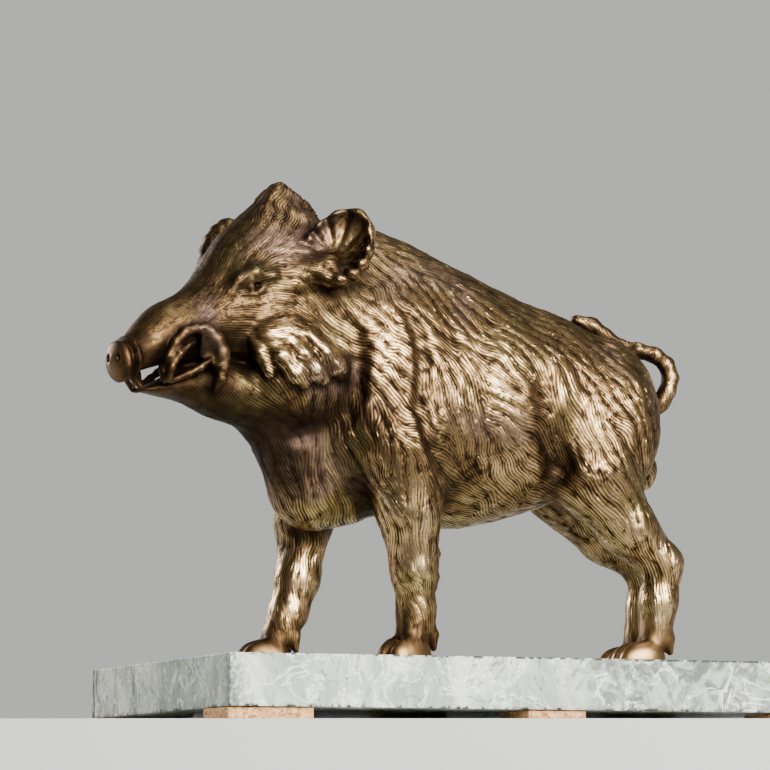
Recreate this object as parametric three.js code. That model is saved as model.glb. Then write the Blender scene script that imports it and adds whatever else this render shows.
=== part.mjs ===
// Wild boar in cast bronze, standing on a polished marble slab with six cork pads under it.
// Millimetres, +Z up. The boar looks along -X and turns its head towards -Y.
// Origin: centre of the whole work's footprint, on the plane that the cork pads rest on.
import * as THREE from 'three';

// ---------------------------------------------------------------- driving dimensions
const SLAB_L = 380;          // slab along X
const SLAB_W = 260;          // slab along Y
const SLAB_T = 30;           // slab thickness
const SLAB_ARRIS = 0.8;      // worn edge of the slab
const PADS = [[-164.5, 51], [10.3, 36], [169.3, 36]];  // middle and length of the cork pads along X
const PAD_W = 44;            // cork pad along Y
const PAD_T = 8;             // cork pad thickness
const PAD_Y = 106;
const GAP = 0.3;             // clearance between pieces that touch
const SLAB_TOP = PAD_T + GAP + SLAB_T;

const GRID = 2.1;            // pitch of the grid the bronze is sampled on
const BOAR_TRIANGLES = 8600; // facets kept on the bronze
const SNOUT = [-234, -56, 170]; // centre of the snout disc, measured from the slab's top centre
const HEAD_TURN = 20.7;      // degrees the head turns towards -Y
const HEAD_DROP = 20;        // degrees the snout points down

// ---------------------------------------------------------------- small vector helpers
const rad = (deg) => deg * Math.PI / 180;
const clamp = (v, lo, hi) => Math.max(lo, Math.min(hi, v));
const dot = (a, b) => a[0] * b[0] + a[1] * b[1] + a[2] * b[2];
const sub = (a, b) => [a[0] - b[0], a[1] - b[1], a[2] - b[2]];
const cross = (a, b) => [a[1] * b[2] - a[2] * b[1], a[2] * b[0] - a[0] * b[2], a[0] * b[1] - a[1] * b[0]];
const unit = (a) => a.map((v) => v / (Math.hypot(...a) || 1));

// Rows are the local axes: yaw about Z, then nose up by pitch, then roll.
function turned(yaw = 0, pitch = 0, roll = 0) {
  const [cy, sy, cp, sp, cr, sr] = [yaw, pitch, roll].flatMap((a) => [Math.cos(rad(a)), Math.sin(rad(a))]);
  const x = [cy * cp, sy * cp, sp];
  const y0 = [-sy, cy, 0];
  const z0 = [-cy * sp, -sy * sp, cp];
  const y = y0.map((v, i) => v * cr + z0[i] * sr);
  const z = z0.map((v, i) => v * cr - y0[i] * sr);
  return [x, y, z];
}

// ---------------------------------------------------------------- soft modelling in clay
// A shape is { at(x, y, z) -> distance, c, r } with a bounding sphere c, r.
function ellipsoid(c, r, rot = [0, 0, 0]) {
  const A = turned(...rot);
  const [rx, ry, rz] = r;
  const at = (x, y, z) => {
    const p = [x - c[0], y - c[1], z - c[2]];
    const u = dot(A[0], p);
    const v = dot(A[1], p);
    const w = dot(A[2], p);
    const k0 = Math.hypot(u / rx, v / ry, w / rz);
    const k1 = Math.hypot(u / rx / rx, v / ry / ry, w / rz / rz);
    return k0 * (k0 - 1) / Math.max(k1, 1e-9);
  };
  return { at, c, r: Math.max(...r) };
}

// A bar through [x, y, z, radius] points, its segments blended by k.
function bar(points, k) {
  const seg = [];
  for (let i = 0; i + 1 < points.length; i++) {
    const a = points[i];
    const b = points[i + 1];
    const d = [b[0] - a[0], b[1] - a[1], b[2] - a[2]];
    seg.push({ a, d, dd: dot(d, d), r0: a[3], dr: b[3] - a[3] });
  }
  const at = (x, y, z) => {
    let best = Infinity;
    for (const s of seg) {
      const px = x - s.a[0];
      const py = y - s.a[1];
      const pz = z - s.a[2];
      const t = clamp((px * s.d[0] + py * s.d[1] + pz * s.d[2]) / s.dd, 0, 1);
      const e = Math.hypot(px - t * s.d[0], py - t * s.d[1], pz - t * s.d[2]) - s.r0 - t * s.dr;
      best = best === Infinity ? e : softMin(best, e, k);
    }
    return best;
  };
  const c = [0, 1, 2].map((i) => points.reduce((m, p) => m + p[i], 0) / points.length);
  const r = Math.max(...points.map((p) => Math.hypot(p[0] - c[0], p[1] - c[1], p[2] - c[2]) + p[3]));
  return { at, c, r };
}

function softMin(a, b, k) {
  const h = clamp(0.5 + 0.5 * (b - a) / k, 0, 1);
  return b + (a - b) * h - k * h * (1 - h);
}
const softMax = (a, b, k) => -softMin(-a, -b, k);

// Smooth curve through one column of the stations.
function throughStations(stations, col) {
  const X = stations.map((s) => s[0]);
  const Y = stations.map((s) => s[col]);
  const n = X.length;
  const m = Y.map((_, i) => {
    const a = Math.max(i - 1, 0);
    const b = Math.min(i + 1, n - 1);
    return (Y[b] - Y[a]) / (X[b] - X[a]);
  });
  return (x) => {
    let i = 0;
    while (i < n - 2 && x > X[i + 1]) i++;
    const h = X[i + 1] - X[i];
    const t = clamp((x - X[i]) / h, 0, 1);
    const t2 = t * t;
    const t3 = t2 * t;
    return (2 * t3 - 3 * t2 + 1) * Y[i] + (t3 - 2 * t2 + t) * h * m[i]
      + (3 * t2 - 2 * t3) * Y[i + 1] + (t3 - t2) * h * m[i + 1];
  };
}

// Body of oval sections along local x. Stations: [x, top, bottom, half width, y of the middle].
// e0 and e1 round the two ends; ridge narrows the section towards its top.
function loft(stations, e0, e1, ridge) {
  const [top, bottom, half, mid] = [1, 2, 3, 4].map((c) => throughStations(stations, c));
  const x0 = stations[0][0];
  const x1 = stations[stations.length - 1][0];
  const at = (x, y, z) => {
    const xc = clamp(x, x0, x1);
    const a = top(xc);
    const b = bottom(xc);
    const h = (a - b) / 2;
    const v = (z - (a + b) / 2) / h;
    const w = half(xc) * (1 - ridge * clamp(v, 0, 1.2) ** 2);
    const e = x < xc ? e0 : e1;
    const q0 = (x - xc) / e;
    const q1 = (y - mid(xc)) / w;
    const k0 = Math.hypot(q0, q1, v);
    const k1 = Math.hypot(q0 / e, q1 / w, v / h);
    return k0 * (k0 - 1) / Math.max(k1, 1e-9);
  };
  return { at, c: [0, 0, 0], r: 1e6 };
}

// Clay built up and cut away step by step.
class Clay {
  constructor() {
    this.steps = [];
  }
  add(shape, k) {
    this.steps.push({ shape, k, cut: false });
    return this;
  }
  cut(shape, k) {
    this.steps.push({ shape, k, cut: true });
    return this;
  }
  at(x, y, z) {
    let d = 1e3;
    for (const { shape, k, cut } of this.steps) {
      const near = Math.hypot(x - shape.c[0], y - shape.c[1], z - shape.c[2]) - shape.r;
      if (cut) {
        if (near < k - d) d = softMax(d, -shape.at(x, y, z), k);
      } else if (near < d + k) {
        d = softMin(d, shape.at(x, y, z), k);
      }
    }
    return d;
  }
}

// ---------------------------------------------------------------- the head, in its own frame
// s runs back along the skull from the snout disc, l sideways (0 = middle), h up.
const HEAD = turned(HEAD_TURN, HEAD_DROP);
const toHead = (p) => {
  const q = sub(p, SNOUT);
  return [dot(HEAD[0], q), dot(HEAD[1], q), dot(HEAD[2], q)];
};
const headVector = (q) => [0, 1, 2].map((i) => HEAD[0][i] * q[0] + HEAD[1][i] * q[1] + HEAD[2][i] * q[2]);
const fromHead = (q) => headVector(q).map((v, i) => v + SNOUT[i]);

const SKULL = [
  [8, 9.5, -10, 10.5, 0], [22, 17.5, -10.5, 14, 0], [36, 23, -12, 16.5, 0], [58, 25.5, -20, 19.5, 0],
  [74, 32, -24, 23, 0], [92, 44, -34, 28, 0], [110, 53, -44, 33, 0], [128, 57, -50, 37, 0],
  [146, 57, -50, 38, 0],
];
const JAW = [
  [11, -19.5, -22, 5.5, 0], [22, -19, -27.5, 9.5, 0], [42, -16, -38, 14.5, 0], [60, -14, -52, 19.5, 0],
  [85, -26, -64, 25, 0], [115, -40, -69, 31, 0],
];
// Outline of the tuft of bristles between the ears, in s and h.
const CREST = [[108, 18], [108, 47], [128, 57.5], [141, 66.5], [154, 69.5], [169, 50], [169, 18]];

function crest() {
  const n = CREST.length;
  const at = (s, l, h) => {
    let d = -1e3;
    for (let i = 0; i < n; i++) {
      const [x0, y0] = CREST[i];
      const [x1, y1] = CREST[(i + 1) % n];
      const e = ((x1 - x0) * (h - y0) - (y1 - y0) * (s - x0)) / Math.hypot(x1 - x0, y1 - y0);
      d = d === -1e3 ? e : softMax(d, e, 2);
    }
    return softMax(d, Math.abs(l) - (12.5 - clamp(h - 40, 0, 40) * 0.24), 3);
  };
  return { at, c: [138, 0, 44], r: 48 };
}

// Four lobes of the whiskers that hang from the cheek over the jowl.
const WHISKERS = [
  [[84, 22, -9, 3], [83.5, 27, -21, 5], [83, 31, -33, 4]],
  [[89, 29, -12, 3.5], [91, 35, -26, 6.2], [95, 39, -38, 6], [99, 40.5, -44.5, 4]],
  [[98, 35, -15, 4], [102, 40.5, -29, 6.5], [107, 42.5, -40, 6.5], [112, 43, -46.5, 4]],
  [[111, 40, -18, 4], [115, 43.5, -31, 6.5], [121, 45, -41, 6], [126, 44.5, -46, 3.5]],
];

// The flared fold at the corner of the mouth and the tops of its pleats, the lips and the tusk.
const LIP_FOLD = [
  [47, 19.5, 4.5, 3], [53, 21.5, 1.5, 4], [57, 22.5, -5, 4.8], [58, 23, -13, 4.8], [55.5, 23.5, -21, 4.2],
  [52.5, 23, -28, 3.4], [49.5, 20, -33, 2],
];
const PLEATS = [
  [50, 23.3, 4], [54.5, 24.6, 0.5], [58, 25.4, -5], [59.3, 26, -11.5], [58.3, 26, -18], [55, 25.6, -24],
];
const UPPER_LIP = [
  [22.5, 15, -10, 2], [24.5, 17.2, -5.5, 2.6], [31, 18.8, 0.8, 3], [38.5, 19.8, 4.6, 3], [46, 21, 4.6, 2.6],
];
const LOWER_LIP = [[23, 14.5, -20, 1.8], [34, 17.5, -19, 2.2], [43, 20.5, -17.5, 2.2], [50, 22.5, -15, 1.2]];
const TUSK = [
  [21.3, 15, -18, 2.6], [23, 18.6, -11.8, 2.3], [29.5, 21.6, -5.8, 2.1], [37, 22.4, -2.8, 1.6], [43, 21, -2, 0.8],
];

// The head is the same on both sides, so it is modelled for l > 0 and mirrored.
function headClay() {
  const c = new Clay();
  c.add(loft(SKULL, 4, 30, 0.12), 1);
  c.add(ellipsoid([113, 22, -36], [33, 18, 33], [0, -10, 0]), 8);           // jowl
  c.add(loft(JAW, 5, 20, 0), 5);
  c.add(ellipsoid([107, 27, -19], [25, 14, 15], [0, -20, 0]), 6);           // cheek
  WHISKERS.forEach((lobe) => c.add(bar(lobe, 3), 1.8));
  c.cut(ellipsoid([10, 0, -15], [19, 30, 3.9], [0, 3, 0]), 1.2);            // open mouth
  c.add(bar(LIP_FOLD, 2), 2.5);
  c.cut(ellipsoid([44.5, 25.5, -12], [8, 4.8, 6.5], [0, 35, 0]), 2);
  c.cut(ellipsoid([35, 22, -9.5], [9, 5, 4], [0, 32, 0]), 1.5);
  c.cut(ellipsoid([27.5, 18.5, -14.5], [4.5, 4, 4], [0, 40, 0]), 1.5);
  for (const [s, l, h] of PLEATS) {
    c.add(bar([[s, l, h, 2.2], [46.5, 17.5, -11.5, 0.9]], 1), 0.8);
  }
  c.add(bar(UPPER_LIP, 1.5), 1.6);
  c.add(bar(LOWER_LIP, 2), 1.5);
  c.add(bar(TUSK, 1), 0.8);
  // front teeth
  c.add(bar([[9, 4, -19.5, 1.9], [5, 4, -11, 1.6]], 1), 0.8);
  c.add(bar([[20.5, 11.5, -19, 2], [21.5, 12, -11, 2.6]], 1), 0.8);
  // snout disc with its collar and nostrils
  c.add(ellipsoid([7.5, 0, -0.5], [2.8, 13.8, 13.2], [0, -10, 0]), 1.2);
  c.add(ellipsoid([1.2, 0, -1], [4.4, 11.3, 12.4], [0, -12, 0]), 2);
  c.cut(ellipsoid([-3, 4.6, 2], [7, 1.5, 2]), 0.4);
  // brow, eye socket, eyeball and lids
  c.add(bar([[79, 20, 18, 1.8], [86, 22.5, 23.5, 2.8], [96, 26, 25, 2.8], [106, 30, 20, 1.8]], 4), 6);
  c.cut(ellipsoid([91, 28.5, 17], [6, 4, 3.4], [0, 10, 0]), 2.5);
  c.add(ellipsoid([91, 25.2, 17.2], [3.2, 2.8, 2.8]), 0.6);
  c.add(bar([[84, 24, 15.5, 1], [91, 26.6, 12.4, 1.4], [98, 28.5, 15.5, 1]], 2), 1.5);
  c.add(bar([[84, 23.5, 18.5, 0.8], [91, 26.3, 21.4, 1.3], [98, 28.3, 18.5, 0.8]], 2), 1.2);
  c.add(crest(), 5);
  return c;
}

// ---------------------------------------------------------------- ears
// A cupped leaf: centre, axis from base to tip, the way the cup opens, half length and half width.
const NEAR_EAR = {
  c: [-95.2, -52, 244.1], axis: [0.5, -0.06, 0.86], open: [-0.6, -0.8, 0.1], L: 26, W: 21.5,
};
const FAR_EAR = {
  c: fromHead([133, 42, 35]), axis: headVector([0.8, 0.1, 0.52]), open: headVector([-0.45, 0.85, 0.15]),
  L: 25, W: 19,
};
const EAR_FOLDS = 13;

function ear({ c, axis, open, L, W }) {
  const a = unit(axis);
  const n = unit(sub(open, a.map((v) => v * dot(open, a))));
  const b = cross(n, a);
  const outer = ellipsoid([0, 0, 0], [L, W, 11]);
  const inner = ellipsoid([1.5, 0, 8.5], [L - 3.5, W - 3.2, 12]);
  const at = (x, y, z) => {
    const p = [x - c[0], y - c[1], z - c[2]];
    const u = dot(p, a);
    const v = dot(p, b);
    const w = dot(p, n);
    const rr = Math.hypot((u + 0.25 * L) / L, v / W);
    const fold = 1.5 * clamp((rr - 0.25) / 0.5, 0, 1) * Math.cos(EAR_FOLDS * Math.atan2(v, u + 0.25 * L));
    const vs = v / (1 - 0.16 * u / L);
    const shell = softMax(outer.at(u, vs, w) - 0.35 * fold, -inner.at(u, vs, w) - 0.75 * fold, 1.5);
    return softMax(shell, w - 5 - 0.6 * fold - 2 * (rr - 0.5), 1.5);
  };
  return { at, c, r: L + 2 };
}

// Stalk between the head and an ear.
function earRoot(e, root) {
  const a = unit(e.axis);
  const tip = e.c.map((v, i) => v - 0.55 * e.L * a[i]);
  return bar([[...tip, 8], [...root, 11]], 1);
}

// ---------------------------------------------------------------- body, legs, feet, tail
const TRUNK = [
  [-92, 260, 128, 36, -4], [-70, 266, 100, 43, -2], [-40, 259, 87, 49, 0], [0, 242, 84, 52, 0],
  [40, 225, 93, 49, 0], [70, 216, 104, 44, 0], [93, 203, 112, 39, 0],
];
const LEGS = [
  [[-50, -36, 128, 26], [-45, -35, 92, 18.5], [-41, -33, 54, 12.5], [-38.5, -31, 32, 10.5], [-41, -31, 18, 10]],
  [[-82, 32, 126, 26], [-87, 31, 88, 16.5], [-92, 29, 52, 12.5], [-98, 28, 32, 10.5], [-105, 28, 18, 9.8]],
  [[78, -30, 116, 24], [101, -31, 84, 16.5], [123, -31, 63, 12], [120.5, -31, 40, 10.8], [118, -31, 18, 10]],
  [[84, 30, 114, 24], [114, 31, 84, 16], [142, 31, 64, 11.5], [140.5, 31, 40, 10.5], [136, 31, 18, 9.8]],
];
// Ankle x, y and the turn of the toes away from -X.
const FEET = [[-43, -31, 24], [-110, 28, 0], [111, -31, 6], [130, 31, 4]];

function foot(x, y, turn) {
  const c = new Clay();
  const f = [-Math.cos(rad(turn)), -Math.sin(rad(turn))];
  const l = [Math.sin(rad(turn)), -Math.cos(rad(turn))];
  const on = (along, side, z) => [x + f[0] * along + l[0] * side, y + f[1] * along + l[1] * side, z];
  for (const side of [-1, 1]) {
    c.add(ellipsoid(on(5.5, 6.3 * side, 3), [15.5, 6.9, 12.5], [turn - 7 * side, 14, 0]), 1);
  }
  c.cut(ellipsoid(on(17, 0, 0), [13, 1.3, 15], [turn, 0, 0]), 1);
  for (const side of [-1, 1]) {
    const dewclaw = [
      [...on(-6, 5.5 * side, 27), 5], [...on(-13, 6.2 * side, 17), 4.2], [...on(-14.5, 6.2 * side, 9), 2],
    ];
    c.add(bar(dewclaw, 1), 2);
  }
  return { at: (px, py, pz) => c.at(px, py, pz), c: [x, y, 10], r: 34 };
}

// Along the underside of the neck, from behind the chin to the brisket.
const THROAT = [[-122, -14, 143, 20], [-109, -9, 129, 20], [-99, -4, 106, 20], [-90, 0, 98, 16]];
const TAIL = [
  [128, -2, 158, 5.6], [136.5, -3, 166, 5.2], [141, -3, 173, 5], [143.4, -3, 181.5, 4.8],
  [140.5, -3, 189.6, 4.8], [133, -2, 195.5, 4.8], [122.5, 0, 198, 4.6], [113, 5, 200, 4.8],
  [104, 10, 207, 5.2], [96, 12, 213, 5.8], [87, 13, 216, 4.6],
];
// Grooves where one mass of the coat ends over the next: below and behind the jowl (in the head's frame),
// behind the shoulder, and in front of the thigh.
const JOWL_EDGE = [
  [96, 22, -77, 4], [104, 29, -77.5, 5], [113, 35, -77.5, 5.8], [123, 42, -71, 5.5], [130, 47.5, -59, 5],
  [136, 50, -44, 4.5], [141, 48, -27, 4], [141, 43, -11, 3],
];
const SHOULDER_EDGE = [
  [-53, 51, 209, 3], [-46, 55, 197, 4.5], [-43, 58, 181, 5], [-46, 59, 153, 5], [-41, 62, 133, 5],
  [-29, 58, 112, 6], [-27, 52, 93, 5],
];
const THIGH_EDGE = [[34, 54, 185, 4], [38, 54, 165, 6], [42, 52, 140, 7], [50, 42, 118, 7]];
// Tufts that stand clear of the coat behind the elbows.
const ELBOWS = [
  [[-35, -38, 86, 4.5], [-30.5, -39, 79, 3.6], [-28.6, -39, 72, 1.6]],
  [[-34, -36, 73, 4.5], [-29, -37, 65, 3.4], [-27.8, -37, 58, 1.5]],
  [[-34, -35, 58, 4], [-29, -36, 51, 3], [-28.4, -36, 45, 1.4]],
  [[-83, 31, 80, 4], [-78, 31, 72, 3.2], [-76.6, 31, 66, 1.5]],
  [[-84, 30, 65, 4], [-80, 30, 57, 3], [-79, 30, 51, 1.4]],
];

function boarClay() {
  const c = new Clay();
  c.add(loft(TRUNK, 34, 32, 0.22), 1);
  c.add(ellipsoid([91, 0, 155], [36.5, 37, 44], [0, -14, 0]), 18);          // croup
  c.add(ellipsoid([-52, -33, 160], [40, 21, 62], [0, 14, 0]), 20);          // shoulders
  c.add(ellipsoid([-60, 33, 160], [40, 21, 62], [0, 14, 0]), 20);
  c.add(ellipsoid([-84, -3, 131], [24, 30, 50], [0, -20, 0]), 14);          // chest
  c.add(bar(THROAT, 10), 12);
  c.add(ellipsoid([-74, -2, 100], [20, 20, 16], [0, 0, 0]), 10);            // brisket
  c.add(ellipsoid([86, -26, 136], [34, 22, 44], [0, -22, 0]), 12);          // thighs
  c.add(ellipsoid([94, 26, 134], [34, 22, 44], [0, -22, 0]), 12);
  for (const side of [-1, 1]) {
    c.add(ellipsoid([121, 8 * side, 121], [9, 8.5, 12], [0, -20, 0]), 4);
  }
  c.add(ellipsoid([125, -4, 145], [6, 8, 8], [0, 0, 0]), 5);
  LEGS.forEach((leg, i) => {
    const [x, y, turn] = FEET[i];
    const limb = new Clay().add(bar(leg, 7), 1).add(foot(x, y, turn), 4);
    c.add({ at: (px, py, pz) => limb.at(px, py, pz), c: [x, y, 62], r: 90 }, 10);
  });
  const head = headClay();
  const mirrored = (x, y, z) => {
    const [s, l, h] = toHead([x, y, z]);
    return head.at(s, Math.abs(l), h);
  };
  c.add({ at: mirrored, c: fromHead([85, 0, 0]), r: 116 }, 13);
  for (const side of [-1, 1]) {
    const other = ([x, y, z, r]) => [x, y * side, z, r];
    c.cut(bar(JOWL_EDGE.map(([s, l, h, r]) => [...fromHead([s, l * side, h]), r]), 3), 5);
    c.cut(bar(SHOULDER_EDGE.map(other), 4), 4);
    c.cut(bar(THIGH_EDGE.map(other), 4), 8);
  }
  c.cut(ellipsoid([129.5, -6, 145], [6, 2, 2.6], [0, 0, 0]), 1.5);
  ELBOWS.forEach((tuft) => c.add(bar(tuft, 1.5), 2.5));
  c.add(ear(NEAR_EAR), 3);
  c.add(ear(FAR_EAR), 3);
  c.add(earRoot(NEAR_EAR, fromHead([122, -24, 14])), 5);
  c.add(earRoot(FAR_EAR, fromHead([122, 24, 14])), 5);
  c.add(bar(TAIL, 3), 3);
  return c;
}

// ---------------------------------------------------------------- skin of the clay
// Fills grid points where two solid points meet only across a diagonal, so the skin is one sheet.
function fillPinches(G, [nx, ny, nz]) {
  const stride = [ny * nz, nz, 1];
  const diagonals = [];
  for (const [p, q, r] of [[0, 1, 2], [1, 2, 0], [2, 0, 1]]) {
    diagonals.push([0, stride[p], stride[q], stride[p] + stride[q]]);
    diagonals.push([0, stride[p], stride[q] + stride[r], stride[p] + stride[q] + stride[r]]);
  }
  for (let changed = true; changed;) {
    changed = false;
    for (let i = 0; i < nx - 1; i++) {
      for (let j = 0; j < ny - 1; j++) {
        for (let k = 0; k < nz - 1; k++) {
          const o = (i * ny + j) * nz + k;
          for (const [a, b, c, d] of diagonals) {
            const [ia, ib, ic, id] = [G[o + a] < 0, G[o + b] < 0, G[o + c] < 0, G[o + d] < 0];
            if (ia !== id || ib !== ic || ia === ib) continue;
            const [p, q] = ia ? [o + b, o + c] : [o + a, o + d];
            G[G[p] < G[q] ? p : q] = -0.05;
            changed = true;
          }
        }
      }
    }
  }
}

// One vertex in each grid cell that the surface crosses, one quad across each crossed grid edge.
// Only blocks of cells near the surface are sampled finely.
function skin(form, lo, hi, pitch) {
  const B = 8;
  const n = lo.map((v, i) => Math.ceil((hi[i] - v) / pitch / B) * B);
  const [nx, ny, nz] = n;
  const id = (i, j, k) => (i * ny + j) * nz + k;
  const G = new Float32Array(nx * ny * nz);
  const pos = (i, axis) => lo[axis] + i * pitch;
  const reach = pitch * B * 0.866 * 1.6;
  for (let bi = 0; bi < nx; bi += B) {
    for (let bj = 0; bj < ny; bj += B) {
      for (let bk = 0; bk < nz; bk += B) {
        const m = B / 2 - 0.5;
        const mid = form(pos(bi + m, 0), pos(bj + m, 1), pos(bk + m, 2));
        for (let i = bi; i < bi + B; i++) {
          for (let j = bj; j < bj + B; j++) {
            for (let k = bk; k < bk + B; k++) {
              G[id(i, j, k)] = Math.abs(mid) > reach ? mid : form(pos(i, 0), pos(j, 1), pos(k, 2));
            }
          }
        }
      }
    }
  }
  fillPinches(G, n);
  const cell = new Map();
  const V = [];
  const corner = [0, 1, 2, 3, 4, 5, 6, 7].map((b) => [b & 1, (b >> 1) & 1, b >> 2]);
  const vertex = (i, j, k) => {
    const key = id(i, j, k);
    if (cell.has(key)) return cell.get(key);
    const sum = [0, 0, 0];
    let count = 0;
    for (let a = 0; a < 8; a++) {
      for (let ax = 0; ax < 3; ax++) {
        const b = a | (1 << ax);
        if (b === a) continue;
        const [pa, pb] = [corner[a], corner[b]];
        const ga = G[id(i + pa[0], j + pa[1], k + pa[2])];
        const gb = G[id(i + pb[0], j + pb[1], k + pb[2])];
        if ((ga < 0) === (gb < 0)) continue;
        const t = ga / (ga - gb);
        for (let q = 0; q < 3; q++) sum[q] += pa[q] + t * (pb[q] - pa[q]);
        count++;
      }
    }
    V.push([i, j, k].map((v, q) => lo[q] + pitch * (v + sum[q] / count)));
    cell.set(key, V.length - 1);
    return V.length - 1;
  };
  const F = [];
  const step = [[1, 0, 0], [0, 1, 0], [0, 0, 1]];
  for (let i = 1; i < nx - 1; i++) {
    for (let j = 1; j < ny - 1; j++) {
      for (let k = 1; k < nz - 1; k++) {
        const inside = G[id(i, j, k)] < 0;
        for (let ax = 0; ax < 3; ax++) {
          const [dx, dy, dz] = step[ax];
          if ((G[id(i + dx, j + dy, k + dz)] < 0) === inside) continue;
          const u = step[(ax + 1) % 3];
          const w = step[(ax + 2) % 3];
          const at = (a, b) => vertex(...[i, j, k].map((v, q) => v - a * u[q] - b * w[q]));
          const quad = [at(1, 1), at(0, 1), at(0, 0), at(1, 0)];
          if (!inside) quad.reverse();
          const [a, b, c, d] = quad;
          const len = (p, q) => Math.hypot(...sub(V[p], V[q]));
          if (len(a, c) < len(b, d)) F.push([a, b, c], [a, c, d]);
          else F.push([b, c, d], [b, d, a]);
        }
      }
    }
  }
  return { V, F };
}

// The largest connected shell of a skin.
function largestShell({ V, F }) {
  const parent = V.map((_, i) => i);
  const root = (i) => {
    while (parent[i] !== i) {
      parent[i] = parent[parent[i]];
      i = parent[i];
    }
    return i;
  };
  for (const [a, b, c] of F) {
    parent[root(b)] = root(a);
    parent[root(c)] = root(a);
  }
  const size = new Map();
  for (const f of F) size.set(root(f[0]), (size.get(root(f[0])) || 0) + 1);
  const main = [...size.keys()].reduce((a, b) => (size.get(b) > size.get(a) ? b : a));
  const index = new Map();
  const out = { V: [], F: [] };
  for (const f of F) {
    if (root(f[0]) !== main) continue;
    out.F.push(f.map((v) => {
      if (!index.has(v)) {
        index.set(v, out.V.length);
        out.V.push(V[v]);
      }
      return index.get(v);
    }));
  }
  return out;
}

function vertexNormals({ V, F }) {
  const N = V.map(() => [0, 0, 0]);
  for (const f of F) {
    const m = cross(sub(V[f[1]], V[f[0]]), sub(V[f[2]], V[f[0]]));
    for (const v of f) for (let q = 0; q < 3; q++) N[v][q] += m[q];
  }
  return N.map(unit);
}

// ---------------------------------------------------------------- locks of the coat
// Where the coat runs: [x, y, z, dx, dy, dz, lock height, reach], given for one side and mirrored.
const HEAD_COAT = [
  [20, 8, 15, 1, 0, 0.1, 0, 12], [35, 17, 3, 1, 0, 0.2, 0, 12], [60, 10, 24, 1, 0, 0.3, 0, 14],
  [90, 12, 45, 0.8, 0, 0.6, 0.4, 16], [125, 8, 58, 0.7, 0, 0.7, 1.1, 16],
  [150, 10, 60, 0.5, 0, 0.85, 1.3, 14], [90, 28, 6, 1, 0.2, -0.25, 0, 12],
  [78, 28, -14, 0.8, 0.3, -0.5, 0.4, 14], [108, 40, -14, 0.85, 0.2, -0.5, 1.2, 16],
  [60, 20, -42, 0.35, 0, -0.95, 0, 12], [100, 34, -52, 0.8, 0.1, -0.5, 1.0, 16],
  [130, 38, 0, 0.7, 0.3, -0.6, 0.8, 16], [70, 0, -62, 1, 0, -0.2, 0.3, 16],
];
const BODY_COAT = [
  [-80, 40, 215, 0.9, 0, -0.45, 1.2, 24], [-40, 0, 262, 1, 0, -0.2, 0.9, 24],
  [40, 0, 226, 1, 0, -0.35, 0.9, 26], [100, 0, 202, 0.9, 0, -0.5, 0.9, 22],
  [-55, 52, 182, 0.5, 0.1, -0.85, 1.3, 26], [-50, 50, 140, 0.25, 0, -1, 1.3, 22],
  [-105, 30, 160, 0.4, 0, -0.9, 1.2, 20], [-105, 0, 118, 0.4, 0, -0.9, 1.1, 22],
  [0, 50, 205, 0.85, 0, -0.5, 1.1, 26], [15, 52, 165, 0.8, 0, -0.6, 1.1, 28],
  [10, 42, 108, 0.95, -0.1, -0.3, 0.9, 26], [72, 44, 188, 0.7, 0, -0.7, 1.1, 22],
  [88, 47, 145, 0.45, 0, -0.9, 1.3, 24], [122, 30, 150, 0.3, 0, -1, 1.1, 20],
  [100, 40, 90, 0.75, 0, -0.8, 0.8, 18], [126, 34, 58, 0, 0, -1, 0.4, 16],
  [-45, 44, 84, 0.1, 0, -1, 1.0, 18], [-90, 40, 84, 0, 0, -1, 1.0, 18], [-42, 38, 42, 0, 0, -1, 0.5, 16],
  [-95, 38, 42, -0.1, 0, -1, 0.5, 16], [-46, 36, 8, 0, 0, -1, 0, 12], [-112, 34, 8, 0, 0, -1, 0, 12],
  [112, 36, 8, 0, 0, -1, 0, 14], [136, 0, 150, 0, 0, -1, 0.7, 16], [140, 0, 190, -0.7, 0, 0.3, 0, 12],
  [100, 12, 213, -1, 0, 0.3, 0, 9],
];
const COAT = [];
for (const side of [-1, 1]) {
  for (const [x, y, z, dx, dy, dz, height, reach] of BODY_COAT) {
    COAT.push({ p: [x, y * side, z], d: unit([dx, dy * side, dz]), height, reach });
  }
  for (const [x, y, z, dx, dy, dz, height, reach] of HEAD_COAT) {
    COAT.push({ p: fromHead([x, y * side, z]), d: headVector(unit([dx, dy * side, dz])), height, reach });
  }
}
for (const e of [NEAR_EAR, FAR_EAR]) COAT.push({ p: e.c, d: unit(e.axis), height: 0, reach: 9 });

function coatAt(p) {
  const d = [0, 0, 0];
  let height = 0;
  let total = 1e-9;
  for (const g of COAT) {
    const away = (p[0] - g.p[0]) ** 2 + (p[1] - g.p[1]) ** 2 + (p[2] - g.p[2]) ** 2;
    const w = Math.exp(-0.5 * away / g.reach ** 2);
    for (let q = 0; q < 3; q++) d[q] += w * g.d[q];
    height += w * g.height;
    total += w;
  }
  return { d, height: height / total };
}

function seededRandom(seed) {
  let s = seed >>> 0;
  return () => {
    s = (Math.imul(s, 1664525) + 1013904223) >>> 0;
    return s / 4294967296;
  };
}

const LOCK_SPACING = 13;
const LOCK_HALF_LENGTH = 17;
const LOCK_HALF_WIDTH = 7.5;

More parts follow.
